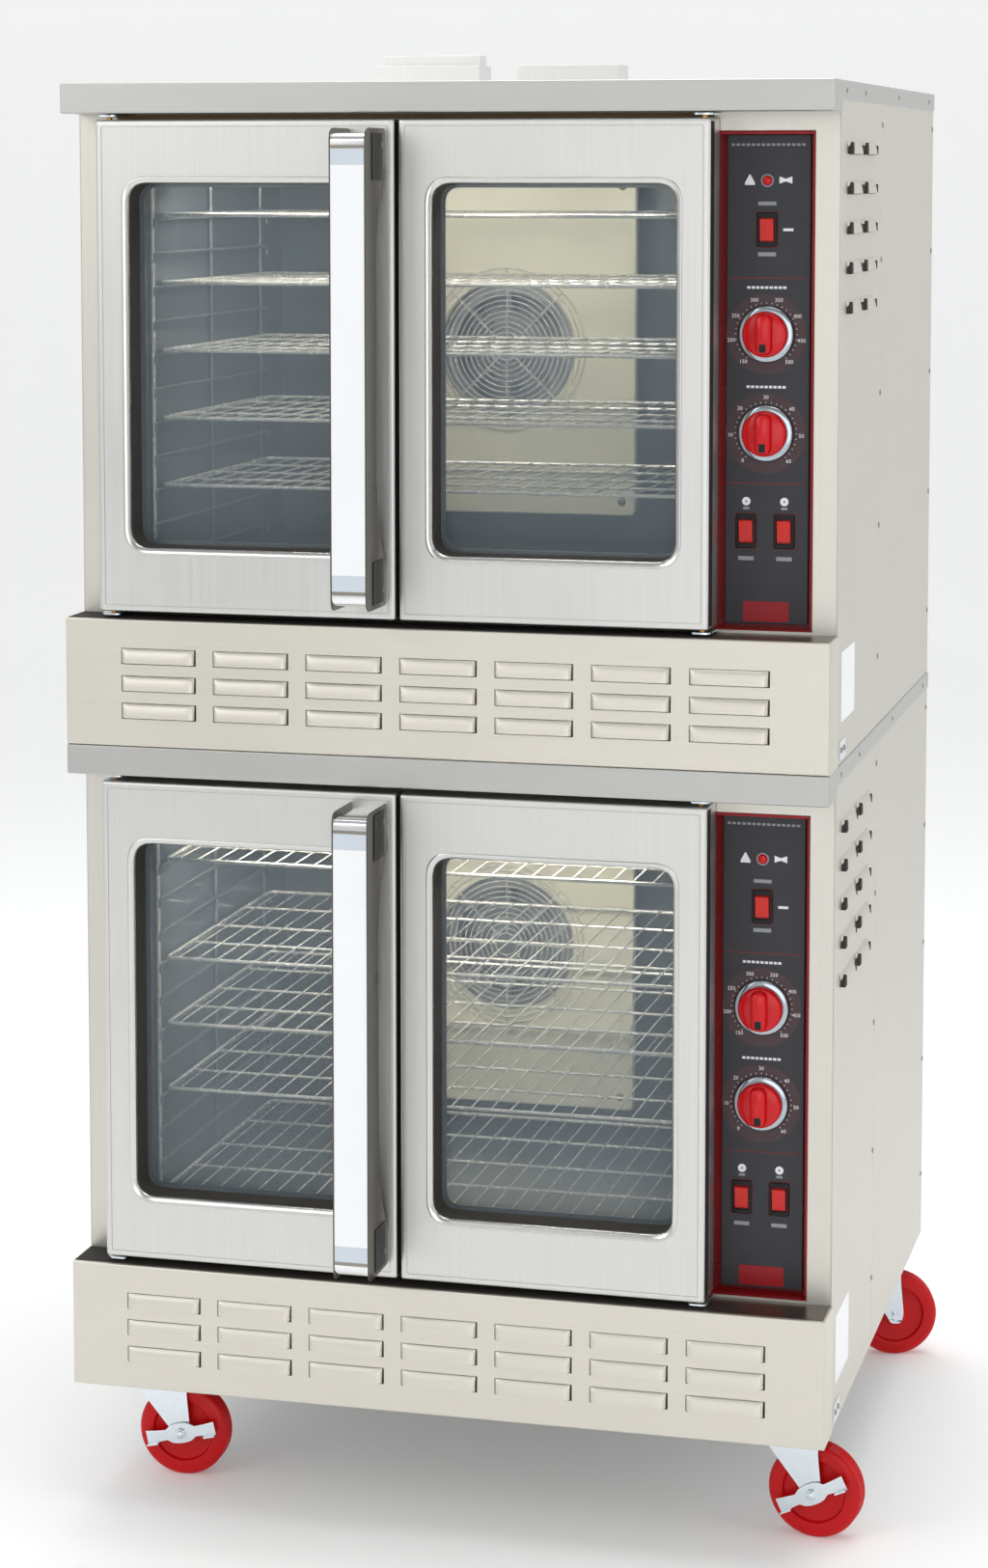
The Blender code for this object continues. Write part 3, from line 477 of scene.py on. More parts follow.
dial_tint = moulded("dial_ring_ink", rgb(66, 44, 48), 0.45, 1400, 0.1)
red_print = moulded("red_ink", rgb(118, 30, 32), 0.5, 1400, 0.0)
label_white = moulded("white_label", rgb(244, 246, 248), 0.38, 700, 0.3, 0.03)
label_blue = moulded("pale_label_band", rgb(206, 214, 224), 0.30, 700, 0.3, 0.03)
# one dark finish for the real gaskets and reveals, and for the dark sheets that are painted shade in gaps
# and hollows
gasket_and_shade_black = moulded("dark_gasket_and_painted_shade", rgb(52, 48, 44), 0.8, 300, 0.0, 0.25)
# a black that is painted shade on the free side of each door
edge_shade_black = moulded("black_edge_seal", rgb(22, 20, 20), 0.7, 300, 0.0, 0.1)
# a tan colour that is painted shade on the steel frame above the doors
shade_tan = moulded("tan_painted_shade", rgb(168, 140, 104), 0.8, 220, 0.0, 0.25)


def tinted_glass(name, colour, alpha):
    f = Finish(name)
    haze = f.noise((9, 9, 3), 4.0, 0.6)
    return f.set(base_color=f.times(colour, haze * 0.2 + 0.9), roughness=haze * 0.05 + 0.02,
                 alpha=f.wear(haze) * 0.05 + alpha)


door_glass = tinted_glass("tinted_door_glass", rgb(120, 132, 140), 0.33)
print("materials so far:", len(bpy.data.materials))

# %% [markdown]
# ## The cabinet
#
# Each deck is a welded sheet box. Its sides are two panels with a vertical seam and a row of
# screws, and its front face is a plate with one hole for the oven and one for the controls. A
# plate with a hole is a closed loft: outer edge back, outer edge front, hole front, hole back.

# %% Cabinet sizes
SHEET = 0.0015
HALF = -local("cabinet")[0][0]
BACK = local("cabinet")[1][1]
TOP = local("cabinet")[1][2]
SEAM = 0.365
liner_low, liner_high = local("cavity")
tray_low, tray_high = local("control_panel")
oven_x = (liner_low[0] + liner_high[0]) / 2
joints = {joint["name"]: joint for joint in frame["joints"]}
hinges = {}
for hand in ("left", "right"):
    hinges[hand] = np.array(joints[f"lower_{hand}_door_hinge"]["pos_m"]) - origin("lower_")
print("half width", round(float(HALF), 4), "middle of the oven", round(float(oven_x), 4))


# %% Panels and plates with holes
def panel(low, high):
    return block(np.minimum(low, high), np.maximum(low, high))


def holed(outer, hole, plane, front, back):
    """A plate between two outlines of equal length."""
    return loft([lay(outer, plane, back), lay(outer, plane, front),
                 lay(hole, plane, front), lay(hole, plane, back)], closed=True)


def cup(outer, inner, plane, mouth, floor, wall):
    """An open box: its inner floor, up to the mouth, over the rim and down to the outer floor."""
    return loft([lay(inner, plane, floor - wall), lay(inner, plane, mouth),
                 lay(outer, plane, mouth), lay(outer, plane, floor)])


sides, seam_shade = [], []
for side in (-1, 1):
    outer, inner = side * HALF, side * (HALF - SHEET)
    sides += panel((inner, 0.0, 0.0), (outer, SEAM - 0.0011, TOP))
    sides += panel((inner, SEAM + 0.0011, 0.0), (outer, BACK, TOP))
    # a dark strip just inside each seam is painted shade in the gap between the panels
    seam_shade += panel((inner - side * 0.0001, SEAM - 0.006, 0.01),
                     (inner - side * 0.0010, SEAM + 0.006, TOP - 0.01))
on_decks("cabinet_sides", sides, side_steel, slot="cabinet_steel", replaces=("cabinet",), bevel=0.0006)
on_decks("seam_painted_shade", seam_shade, gasket_and_shade_black)

SPLIT = 0.330
edge = HALF - SHEET - 0.0001
face = []
for start, end, low, high in ((-edge, SPLIT, liner_low, liner_high),
                              (SPLIT + 0.0001, edge, tray_low, tray_high)):
    opening = rectangle(low[[0, 2]] - 0.0003, high[[0, 2]] + 0.0003)
    face += holed(rectangle((start, 0.150), (end, TOP)), opening, "XZ", 0.0, 0.003)
on_decks("cabinet_front", face, cabinet_steel, slot="cabinet_steel")

back_sheets = panel((-edge, BACK - SHEET, 0.002), (edge, BACK, TOP))
back_sheets += panel((-edge, 0.004, 0.0), (edge, BACK - 0.002, SHEET))
on_decks("cabinet_back", back_sheets, zinc_sheet, slot="cabinet_steel")


# %% [markdown]
# ## Screws
#
# The panels are held by pan-head screws. A head is only eight millimetres wide, so a turned dome
# whose height follows a quarter circle is enough, and its slot is left out.


# %% Screws
def screw(place, axis, outward, radius=0.0042, height=0.0018):
    """A low dome whose profile is r cos a, h sin a for a from 0 to 90 degrees."""
    a = np.linspace(0, np.pi / 2, 5)
    profile = np.stack([radius * np.cos(a), outward * height * np.sin(a)], 1)
    return turned(profile, place, axis, 14)


cap_low, cap_high = local("top_cap")
screws = []
for side in (-1, 1):
    for z in np.linspace(0.095, 0.815, 5):
        screws += screw((side * HALF, SEAM - 0.011, z), "X", side)
        screws += screw((side * HALF, BACK - 0.014, z), "X", side)
    for y in (0.030, 0.189, 0.500, 0.825):
        screws += screw((side * cap_high[0], y, cap_high[2] - 0.013), "X", side, 0.0036, 0.0014)
for x in np.linspace(-0.47, 0.47, 5):
    for z in (0.03, 0.44, 0.83):
        screws += screw((x, BACK, z), "Y", 1)
on_decks("cabinet_screws", screws, screw_steel)

# %% [markdown]
# ## Rear cover and gas pipe collar
#
# The fan motor is reached through a screwed cover in the back. The gas pipe leaves through a
# round collar below it.

# %% Rear cover
fan_z = float(local("fan_wheel")[0][2] + local("fan_wheel")[1][2]) / 2
cover_low, cover_high = (oven_x - 0.18, fan_z - 0.17), (oven_x + 0.18, fan_z + 0.17)
cover = extruded(rounded(cover_low, cover_high, 0.012), "XZ", BACK + 0.0002, BACK + 0.0018)
on_decks("rear_cover", cover, zinc_sheet, slot="cabinet_steel", bevel=0.0005)
cover_screws = []
for x in (cover_low[0] + 0.012, oven_x, cover_high[0] - 0.012):
    for z in (cover_low[1] + 0.012, cover_high[1] - 0.012):
        cover_screws += screw((x, BACK + 0.0018, z), "Y", 1)
on_decks("rear_cover_screws", cover_screws, screw_steel)
pipe_x, pipe_z, pipe_r = -0.300, 0.110, 0.0136
collar_profile = [(pipe_r, 0.0), (0.030, 0.0), (0.030, 0.002), (0.019, 0.004), (pipe_r, 0.004)]
collar = turned(collar_profile, (pipe_x, BACK, pipe_z), "Y", 32, closed=True)
on_decks("gas_pipe_collar", collar, zinc, bevel=0.0004)

# %% [markdown]
# ## Top cap
#
# The cap is one folded sheet with a deep brow in front and a shallow flange along the sides. Its
# side view is an L that is carried across the width, and its bevelled folds catch the light.

# %% Top cap
CAP_FLANGE = 0.025
flange_z = cap_high[2] - CAP_FLANGE
brow = [(cap_low[1], cap_low[2]), (-0.0003, cap_low[2]), (-0.0003, flange_z), (cap_high[1], flange_z),
        (cap_high[1], cap_high[2]), (cap_low[1], cap_high[2])]
cap = extruded(brow, "YZ", cap_low[0], cap_high[0])
on_decks("top_cap_sheet", cap, cap_steel, slot="cabinet_steel", replaces=("top_cap",),
         bevel=0.0022, segments=3)


# %% [markdown]
# ## Skirt and louvres
#
# The skirt covers the burner space. Each louvre is cut along its lower edge and pressed out, so
# it stands out most at the lip, follows a quarter sine down from its root and closes at its ends.
# The sheet in between is made of cells, each a quad ring round one slot.


# %% Pressed louvres
def hood(length, height, depth, wall=0.0009, square=14, rows=25, columns=8):
    """Points (along, out, up) of one louvre: out = depth * (1 - |u|^square)^0.5 * sin(90 v)^0.5."""
    u = np.linspace(-1, 1, rows)[:, None]
    u = np.sign(u) * (1 - (1 - np.abs(u)) ** 1.6)
    v = np.linspace(0, 1, columns)[None, :]
    shape = np.sqrt(np.clip(1 - np.abs(u) ** square, 0, 1)) * np.sin(v * np.pi / 2) ** 0.5
    out = depth * shape
    inside = (depth - wall) * shape
    along = np.broadcast_to(u * length / 2, out.shape)
    up = np.broadcast_to(height * (0.5 - v), out.shape)
    outer = np.stack([along, out, up], -1)
    inner = np.stack([along, inside, up + wall * 0.4 * np.sin(v * np.pi)], -1)[:, ::-1]
    return loft(np.concatenate([outer, inner[:, :-1]], axis=1))


def on_front(patches, x, y, z):
    return [(np.stack([p[:, 0] + x, y - p[:, 1], p[:, 2] + z], 1), f) for p, f in patches]


def on_side(patches, side, x, y, z):
    return [(np.stack([side * (x + p[:, 1]), p[:, 0] + y, p[:, 2] + z], 1), f) for p, f in patches]


# %% Skirt
skirt_low, skirt_high = local("skirt")
door_edge_x = local("door_right")[1][0]
HEM = 0.002
COLUMNS = (np.arange(7) - 3) * 0.1265
ROWS = (0.0475, 0.0838, 0.120)
LOUVRE = (0.100, 0.019)
skirt_face = skirt_low[1] + 0.0049
half_skirt, skirt_top = float(skirt_high[0]), float(skirt_high[2])
between = (COLUMNS[:-1] + COLUMNS[1:]) / 2
x_lines = np.concatenate([[HEM - half_skirt], between, [half_skirt - HEM]])
z_lines = (HEM, 0.0655, 0.102, skirt_top - HEM)
cells, hoods = [], []
for x, left, right in zip(COLUMNS, x_lines[:-1], x_lines[1:]):
    for z, under, over in zip(ROWS, z_lines[:-1], z_lines[1:]):
        lip = z - LOUVRE[1] / 2
        slot = rectangle((x - 0.0508, lip - 0.0016), (x + 0.0524, lip + LOUVRE[1] + 0.0008))
        cell = rectangle((left, under), (right, over))
        rings = [lay(cell, "XZ", skirt_face), lay(slot, "XZ", skirt_face),
                 lay(slot, "XZ", skirt_face + SHEET)]
        cells.append((np.concatenate(rings), grid(3, 4, False, True)))
        hoods += on_front(hood(*LOUVRE, 0.0048), x, skirt_face, z)
border = [lay(rectangle((-half_skirt + inset, inset), (half_skirt - inset, skirt_top - inset)), "XZ", y)
          for inset, y in ((HEM, skirt_face), (0.0007, skirt_face + 0.0006), (0.0, skirt_face + 0.0022),
                           (0.0, -0.0003), (0.0600, -0.0003))]
cells += [(np.concatenate(border), grid(5, 4, False, True)), (border[-1], np.arange(4)[None])]
on_decks("skirt_sheet", cells, skirt_steel, slot="cabinet_steel", replaces=("skirt",), smooth=25)
# the top of the skirt is covered by dark strips that are painted shade: black under the doors and dark metal
# beside them
for name, start, end, finish in (("opening", HEM - half_skirt, door_edge_x, gasket_and_shade_black),
                                 ("return", door_edge_x + 0.001, half_skirt - 0.003, handle_side_and_ledge_shade_metal)):
    shaded_ledge = panel((start, skirt_face + 0.0045, skirt_top), (end, -0.0010, skirt_top + 0.0006))
    on_decks("skirt_top_" + name, shaded_ledge, finish)
on_decks("skirt_louvres", hoods, skirt_steel, slot="cabinet_steel", smooth=50)
print("louvres in one skirt:", len(COLUMNS) * len(ROWS))

# %% [markdown]
# ## Side louvres, stickers and stacking brackets
#
# The control side has ten louvres of the same tool. A blank sticker and a small bracket with two
# screws sit low at the front of the same side.

# %% Side fittings
side_hoods, mouth_shades = [], []
for y in (0.102, 0.2285):
    for row in range(5):
        z = 0.582 + 0.0505 * row
        side_hoods += on_side(hood(0.100, 0.017, 0.0056, square=26), 1, HALF, y, z)
        # dark pieces at both ends and under the lip of each louvre are painted shade in its open mouth
        end = fillet([(y - 0.0520, z - 0.0085), (y - 0.0360, z - 0.0085), (y - 0.0385, z + 0.0065),
                      (y - 0.0485, z + 0.0065)], (0.001, 0.001, 0.004, 0.006), 4)
        mouth_shades += extruded(end, "YZ", HALF - 0.001, HALF + 0.0064)
        mouth_shades += panel((HALF - 0.001, y - 0.0370, z - 0.0092), (HALF + 0.0035, y + 0.0500, z - 0.0078))
        mouth_shades += panel((HALF - 0.001, y + 0.0440, z - 0.0080), (HALF + 0.0060, y + 0.0502, z + 0.0030))
on_decks("side_louvres", side_hoods, side_steel, slot="cabinet_steel", smooth=50)
on_decks("side_louvre_mouth_shades", mouth_shades, gasket_and_shade_black, bevel=0.0005)
sticker = extruded(rounded((0.035, 0.053), (0.145, 0.143), 0.004), "YZ", HALF, HALF + 0.0003)
on_decks("blank_sticker", sticker, label_white)
bracket = extruded(rounded((0.020, 0.006), (0.062, 0.030), 0.004), "YZ", HALF, HALF + 0.0016)
on_decks("stacking_bracket", bracket, zinc, bevel=0.0004)
bracket_screws = [patch for y in (0.030, 0.052) for patch in screw((HALF + 0.0016, y, 0.018), "X", 1)]
on_decks("stacking_bracket_screws", bracket_screws, screw_steel)

# %% [markdown]
# ## Oven liner and rack guides
#
# The liner is a porcelain-enamelled cup with rounded corners. Chrome guides hang on its side
# walls: eleven rungs to a side, tied by three uprights, so a rack slides on a pair of rungs.

# %% Liner
wall = 0.0015
inner_low, inner_high = liner_low[[0, 2]] + wall, liner_high[[0, 2]] - wall
liner = cup(rounded(liner_low[[0, 2]], liner_high[[0, 2]], 0.012), rounded(inner_low, inner_high, 0.0105),
            "XZ", 0.001, liner_high[1], wall)
on_decks("oven_liner", liner, liner_enamel, slot="liner_enamel", replaces=("cavity",), smooth=25)

rack_bottoms = [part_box(f"lower_rack_{n}")[0].z - origin("lower_")[2] for n in (1, 5)]
LEVELS = np.linspace(rack_bottoms[0], rack_bottoms[1], 11)
guides, posts = [], []
for side in (-1, 1):
    rung_x = oven_x + side * (liner_high[0] - oven_x - wall - 0.0088)
    for level in LEVELS:
        z = level - 0.0029
        path = fillet([(rung_x, 0.030, z - 0.012), (rung_x, 0.030, z), (rung_x, 0.505, z),
                       (rung_x, 0.505, z - 0.012)], 0.006, 3, closed=False)
        guides += bar(path, 0.0022, 8, up=(1, 0, 0))
    for y in (0.034, 0.270, 0.488):
        x = rung_x + side * 0.0046
        upright = bar([(x, y, 0.222), (x, y, 0.500), (x, y, 0.762)], 0.0028, 8, up=(0, 1, 0))
        posts, guides = (posts + upright, guides) if y < 0.1 else (posts, guides + upright)
# the rungs and the rear uprights get a darker copy of the wire, painted shade on the side walls inside the
# oven; the front uprights keep the bright wire
on_decks("rack_guides", guides, shaded_guide_wire, slot="rack_chrome")
on_decks("rack_guide_posts", posts, wire_chrome, slot="rack_chrome")

gasket_path = lay(rounded(liner_low[[0, 2]] - 0.010, liner_high[[0, 2]] + 0.010, 0.02), "XZ", -0.0013)
on_decks("door_gasket", bar(gasket_path, 0.0013, 8, closed=True, up=(0, 1, 0)), gasket_and_shade_black)
# a tan strip above the doors is painted shade on the steel frame under the cap
strip = panel((-0.452, -0.0025, 0.8212), (0.345, -0.0002, 0.8275))
on_decks("door_top_shade_strip", strip, shade_tan, bevel=0.0006)
# a black strip below the doors is painted shade in the gap over the skirt
sill_shade = panel((-0.460, -0.0026, 0.1690), (0.345, -0.0002, 0.1777))
on_decks("door_sill_painted_shade", sill_shade, gasket_and_shade_black)


# %% [markdown]
# ## Racks
#
# A rack is a bent frame rod with thin rods from front to back that lie on three cross rods. The
# thin rods turn down over the front rod, where their ends show as small ticks.


# %% Wire racks
def rack_wires(low, high):
    frame_r, cross_r, thin_r = 0.0025, 0.0019, 0.0011
    z = low[2] + frame_r
    rim = lay(rounded(low[:2] + frame_r, high[:2] - frame_r, 0.012, 5), "XY", z)
    wires = bar(rim, frame_r, 8, closed=True)
    for y in (low[1] + 0.105, low[1] + 0.215, low[1] + 0.340):
        wires += bar([(low[0] + frame_r, y, z - 0.0006), (high[0] - frame_r, y, z - 0.0006)], cross_r)
    for x in np.linspace(low[0] + 0.020, high[0] - 0.020, 26):
        top = z + 0.0012
        path = [(x, low[1] + 0.0013, z - 0.0010), (x, low[1] + 0.0022, top),
                (x, low[1] + 0.008, top), (x, high[1] - 0.008, top), (x, high[1] - 0.0022, top)]
        wires += bar(path, thin_r, 6, up=(1, 0, 0))
    return wires


for deck in DECKS:
    for number in range(1, 6):
        node = f"{deck}rack_{number}"
        low, high = (np.array(corner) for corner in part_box(node))
        piece(node + "_wires", rack_wires(low, high), wire_chrome, node, "rack_chrome", [node])

# %% [markdown]
# ## Baffle and fan guard
#
# A pale plate stands before the fan. The ring of its hole has as many points as its outer edge:
# each corner of the edge belongs to a quarter of the hole. Rings of wire close the hole.


# %% Baffle
def round_hole(centre, radius, steps):
    """A circle with (steps + 1) points for each corner of a rounded rectangle, in the same order."""
    corner = 225 + 90 * np.arange(4)[:, None]
    angle = np.radians(corner + (np.arange(steps + 1) - steps / 2)[None, :] * 90 / (steps + 1)).ravel()
    return np.stack([centre[0] + radius * np.cos(angle), centre[1] + radius * np.sin(angle)], 1)


baffle_low, baffle_high = local("fan_baffle")
plate_y = 0.515
edge_outline = rounded(baffle_low[[0, 2]], baffle_high[[0, 2]], 0.010, 8)
inset_outline = rounded(baffle_low[[0, 2]] + 0.002, baffle_high[[0, 2]] - 0.002, 0.009, 8)
hole = round_hole((oven_x, fan_z), 0.102, 8)
lip = round_hole((oven_x, fan_z), 0.099, 8)
rings = [lay(edge_outline, "XZ", plate_y + 0.016), lay(edge_outline, "XZ", plate_y + 0.002),
         lay(inset_outline, "XZ", plate_y), lay(hole, "XZ", plate_y), lay(lip, "XZ", plate_y + 0.003),
         lay(lip, "XZ", plate_y + 0.010), lay(hole, "XZ", plate_y + 0.010), lay(hole, "XZ", plate_y + 0.004),
         lay(inset_outline, "XZ", plate_y + 0.003), lay(inset_outline, "XZ", plate_y + 0.016)]
on_decks("baffle_plate", loft(rings, closed=True), baffle_enamel, slot="baffle_steel",
         replaces=("fan_baffle",), smooth=30)

turn = np.linspace(0, 2 * np.pi, 49)[:-1]
guard = []
for radius in np.linspace(0.016, 0.116, 14):
    circle = np.stack([oven_x + radius * np.cos(turn), np.full(48, plate_y - 0.004),
                       fan_z + radius * np.sin(turn)], 1)
    guard += bar(circle, 0.0011, 6, closed=True, up=(0, 1, 0))
for angle in np.radians(np.arange(0, 360, 45)):
    reach = np.array([[0.016], [0.060], [0.116]])
    spoke = np.concatenate([oven_x + reach * math.cos(angle), np.full((3, 1), plate_y - 0.0020),
                            fan_z + reach * math.sin(angle)], 1)
    guard += bar(spoke, 0.0014, 6, up=(0, 1, 0))
on_decks("fan_guard", guard, wire_chrome)
baffle_screws = []
for x in (baffle_low[0] + 0.02, baffle_high[0] - 0.02):
    for z in (baffle_low[2] + 0.02, baffle_high[2] - 0.02):
        baffle_screws += screw((x, plate_y, z), "Y", -1, 0.006, 0.003)
on_decks("baffle_screws", baffle_screws, screw_steel)
print("pieces so far:", len(made))

# %% [markdown]
# ## Doors
#
# A door is a hollow frame: one closed loft that starts at the back edge, rounds the outer edge,
# dips into a hem groove, crosses the face and returns through the window. A bright bevelled trim
# and a dark reveal line the window, and the pane stands between them.

# %% Doors
STEPS = 8
PIN_REACH = 0.0075
door_box = {hand: local("door_" + hand) for hand in ("left", "right")}
glass_box = {hand: local("glass_" + hand) for hand in ("left", "right")}
door_front, door_back = door_box["right"][0][1], door_box["right"][1][1]
door_bottom, door_top = door_box["right"][0][2] + PIN_REACH, door_box["right"][1][2] - PIN_REACH


def door_ring(hand, inset, y):
    low = np.array((door_box[hand][0][0] + inset, door_bottom + inset))
    high = np.array((door_box[hand][1][0] - inset, door_top - inset))
    return lay(rounded(low, high, 0.003, STEPS), "XZ", y)


def window_ring(hand, grow, y):
    low, high = glass_box[hand][0][[0, 2]] - grow, glass_box[hand][1][[0, 2]] + grow
    return lay(rounded(low, high, 0.025 + grow, STEPS), "XZ", y)


pane_front, pane_back = glass_box["left"][0][1], glass_box["left"][1][1]
LUG = 0.0135
lugs = []
for hand in ("left", "right"):
    rider = hand + "_door"
    edge_rings = ((0.0, door_back), (0.0, door_front + 0.004), (0.0006, door_front + 0.002),
                  (0.0020, door_front + 0.0004), (0.0040, door_front), (0.0082, door_front),
                  (0.0085, door_front + 0.0010), (0.0094, door_front + 0.0010), (0.0097, door_front))
    rings = [door_ring(hand, inset, y) for inset, y in edge_rings]
    rings += [window_ring(hand, 0.009, y) for y in (door_front, door_front + 0.003, door_back)]
    skin = loft(rings, closed=True)
    on_decks(rider + "_skin", skin, door_steel, rider, "door_steel", ("door_" + hand,), smooth=50)
    trim = [window_ring(hand, grow, door_front + y) for grow, y in
            ((0.0088, 0.007), (0.0088, -0.0002), (0.0080, -0.0008), (0.0068, -0.0008),
             (0.0016, 0.0020), (0.0006, 0.0032), (0.0006, 0.007))]
    on_decks(rider + "_trim", loft(trim, closed=True), trim_steel, rider, "door_steel", smooth=50)
    reveal = [window_ring(hand, 0.0087, door_front + 0.0072), window_ring(hand, 0.0, door_front + 0.0072),
              window_ring(hand, 0.0, pane_front - 0.0001), window_ring(hand, 0.0087, pane_front - 0.0001)]
    on_decks(rider + "_reveal", loft(reveal, closed=True), gasket_and_shade_black, rider, smooth=50)
    stop = [window_ring(hand, 0.0087, pane_back + 0.0001), window_ring(hand, -0.005, pane_back + 0.0001),
            window_ring(hand, -0.005, pane_back + 0.0020), window_ring(hand, 0.0, door_back - 0.0002),
            window_ring(hand, 0.0087, door_back - 0.0002)]
    on_decks(rider + "_glass_stop", loft(stop, closed=True), trim_steel, rider, smooth=50)
    pane = loft([window_ring(hand, 0.0, pane_front), window_ring(hand, 0.0, pane_back)])
    on_decks(rider + "_glass", pane, door_glass, rider, "door_glass", ("glass_" + hand,))
    middle = (door_box[hand][0][0] + door_box[hand][1][0]) / 2
    hinge_x, hinge_y = hinges[hand][0], hinges[hand][1]
    vent = panel((middle - 0.1, hinge_y - 0.006, door_bottom - 0.0003),
                 (middle + 0.1, hinge_y + 0.006, door_bottom + 0.001))
    edge_x = door_box[hand][1][0]
    # a black strip on the front of the door's free side is painted shade on that edge
    edge_shade = panel((edge_x - 0.001, door_front + 0.0030, door_bottom + 0.004),
                 (edge_x + 0.0003, door_front + 0.024, door_top - 0.004))
    on_decks(rider + "_vent", vent, gasket_and_shade_black, rider)
    on_decks(rider + "_edge_seal", edge_shade, edge_shade_black, rider)
    pins = []
    for z, up in ((door_bottom, -1), (door_top, 1)):
        profile = [(0.0038, -0.001 * up), (0.0038, up * 0.0068), (0.0030, up * PIN_REACH)]
        pins += turned(profile, (hinge_x, hinge_y, z), "Z", 20)
        low = z + up * 0.0036 if up > 0 else z - 0.0036 - 0.0028
        lugs += extruded(fillet(rectangle((hinge_x - LUG, hinge_y - LUG), (hinge_x + LUG, -0.0002)),
                                (0.008, 0.008, 0.001, 0.001), 4), "XY", low, low + 0.0028)
    on_decks(rider + "_pins", pins, brass, rider)
on_decks("hinge_lugs", lugs, zinc, bevel=0.0004)
print("door from", np.round(door_box["left"][0], 4), "to", np.round(door_box["left"][1], 4))

# %% [markdown]
# ## Handle
#
# The pull is a channel: a bright strip bent back at both ends, between two side flanges that
# arch away from the door. A plain white strip covers its front, with a thin grey line and a pale
# band near each end. Black spacers fill the ends of the channel.

# %% Handle
pull_low, pull_high = local("handle")
left, right = pull_low[0], pull_high[0]
front, foot = pull_low[1], pull_high[1]
bottom, top = pull_low[2], pull_high[2]
FOOT, ARCH, RECESS = 0.046, 0.040, 0.0065
corners = [(front, top), (foot, top), (foot, top - FOOT), (foot - ARCH, top - 2.4 * FOOT),
           (foot - ARCH, bottom + 2.4 * FOOT), (foot, bottom + FOOT), (foot, bottom), (front, bottom)]
flange_outline = fillet(corners, (0.016, 0.006, 0.010, 0.060, 0.060, 0.010, 0.006, 0.016), 7)
flanges = extruded(flange_outline, "YZ", left, left + 0.0018)
flanges += extruded(flange_outline, "YZ", right - 0.0018, right)
on_decks("handle_flanges", flanges, handle_side_and_ledge_shade_metal, "left_door", "handle_chrome", ("handle",),
         bevel=0.0004)
strip_top, strip_bottom = top - RECESS, bottom + RECESS
outer = fillet([(foot, strip_top), (front + 0.0006, strip_top), (front + 0.0006, strip_bottom),
                (foot, strip_bottom)], 0.014, 8, closed=False)
inner = fillet([(foot, strip_top - 0.002), (front + 0.0026, strip_top - 0.002),
                (front + 0.0026, strip_bottom + 0.002), (foot, strip_bottom + 0.002)], 0.012, 8,
               closed=False)
channel = extruded(np.concatenate([outer, inner[::-1]]), "YZ", left + 0.0019, right - 0.0019)
on_decks("handle_channel", channel, handle_chrome, "left_door", "handle_chrome", smooth=30)
label_x = (left + 0.0021, right - 0.0021)
label_y = (front + 0.0001, front + 0.0007)
handle_label = panel((label_x[0], label_y[0], strip_bottom + 0.040),
                     (label_x[1], label_y[1], strip_top - 0.040))
on_decks("handle_label", handle_label, label_white, "left_door")
bands, lines = [], []
for z, up in ((strip_top, -1), (strip_bottom, 1)):
    bands += panel((label_x[0], label_y[0], z + up * 0.0200), (label_x[1], label_y[1], z + up * 0.0398))
    lines += panel((label_x[0], label_y[0], z + up * 0.0150), (label_x[1], label_y[1], z + up * 0.0194))
on_decks("handle_bands", bands, label_blue, "left_door")
on_decks("handle_lines", lines, screw_steel, "left_door")
spacers = []
for z0, z1 in ((top - 0.060, top - 0.010), (bottom + 0.010, bottom + 0.060)):
    spacers += panel((left + 0.0021, foot - 0.030, z0), (right - 0.0021, foot - 0.001, z1))
for z0, z1 in ((top - 0.066, top - 0.006), (bottom + 0.006, bottom + 0.062)):
    spacers += panel((right + 0.0001, foot - 0.060, z0), (right + 0.0012, foot - 0.014, z1))
on_decks("handle_spacers", spacers, black_plastic, "left_door", bevel=0.002)
bolts = []
for z in (top - 0.022, bottom + 0.022):
    bolts += screw((right, foot - 0.016, z), "X", 1, 0.005, 0.0022)
    bolts += screw((left, foot - 0.016, z), "X", -1, 0.005, 0.0022)
on_decks("handle_bolts", bolts, screw_steel, "left_door")


# %% [markdown]
# ## Control panel
#
# A red enamelled tray is let into the front, and a charcoal plate lies in it. The plate carries
# two dials with numbers, three rocker switches in bezels, a red lamp and plain printed bars.

# %% Tray and plate
plate_low, plate_high = np.array((0.3575, 0.178)), np.array((0.4645, 0.800))
PLATE_Y = 0.022
PANEL_X = float(tray_low[0] + tray_high[0]) / 2 - 0.001
tray_outer = rounded(tray_low[[0, 2]], tray_high[[0, 2]], 0.004, 4)
tray_inner = rounded(tray_low[[0, 2]] + 0.0015, tray_high[[0, 2]] - 0.0015, 0.003, 4)
tray = cup(tray_outer, tray_inner, "XZ", -0.0004, tray_high[1], 0.0015)
on_decks("panel_tray", tray, tray_red, slot="panel_black", replaces=("control_panel",), smooth=30)
plate = [lay(rounded(plate_low + inset, plate_high - inset, 0.003, 4), "XZ", y)
         for inset, y in ((0, 0.0298), (0, PLATE_Y + 0.0008), (0.0008, PLATE_Y))]
on_decks("panel_plate", loft(plate), overlay, slot="panel_black", smooth=30)
# red strips along the top and right of the tray, brighter than the tray's enamel, are painted light on those
# edges
rim_x, rim_z = tray_high[0] - 0.0018, tray_high[2] - 0.0018
rim = panel((tray_low[0] + 0.0018, 0.002, rim_z - 0.0028), (rim_x, 0.021, rim_z))
rim += panel((rim_x - 0.0016, 0.002, tray_low[2] + 0.006), (rim_x, 0.020, rim_z - 0.0042))
on_decks("panel_rim_painted_light", rim, badge_and_lit_tray_red, slot="panel_black", bevel=0.0005)

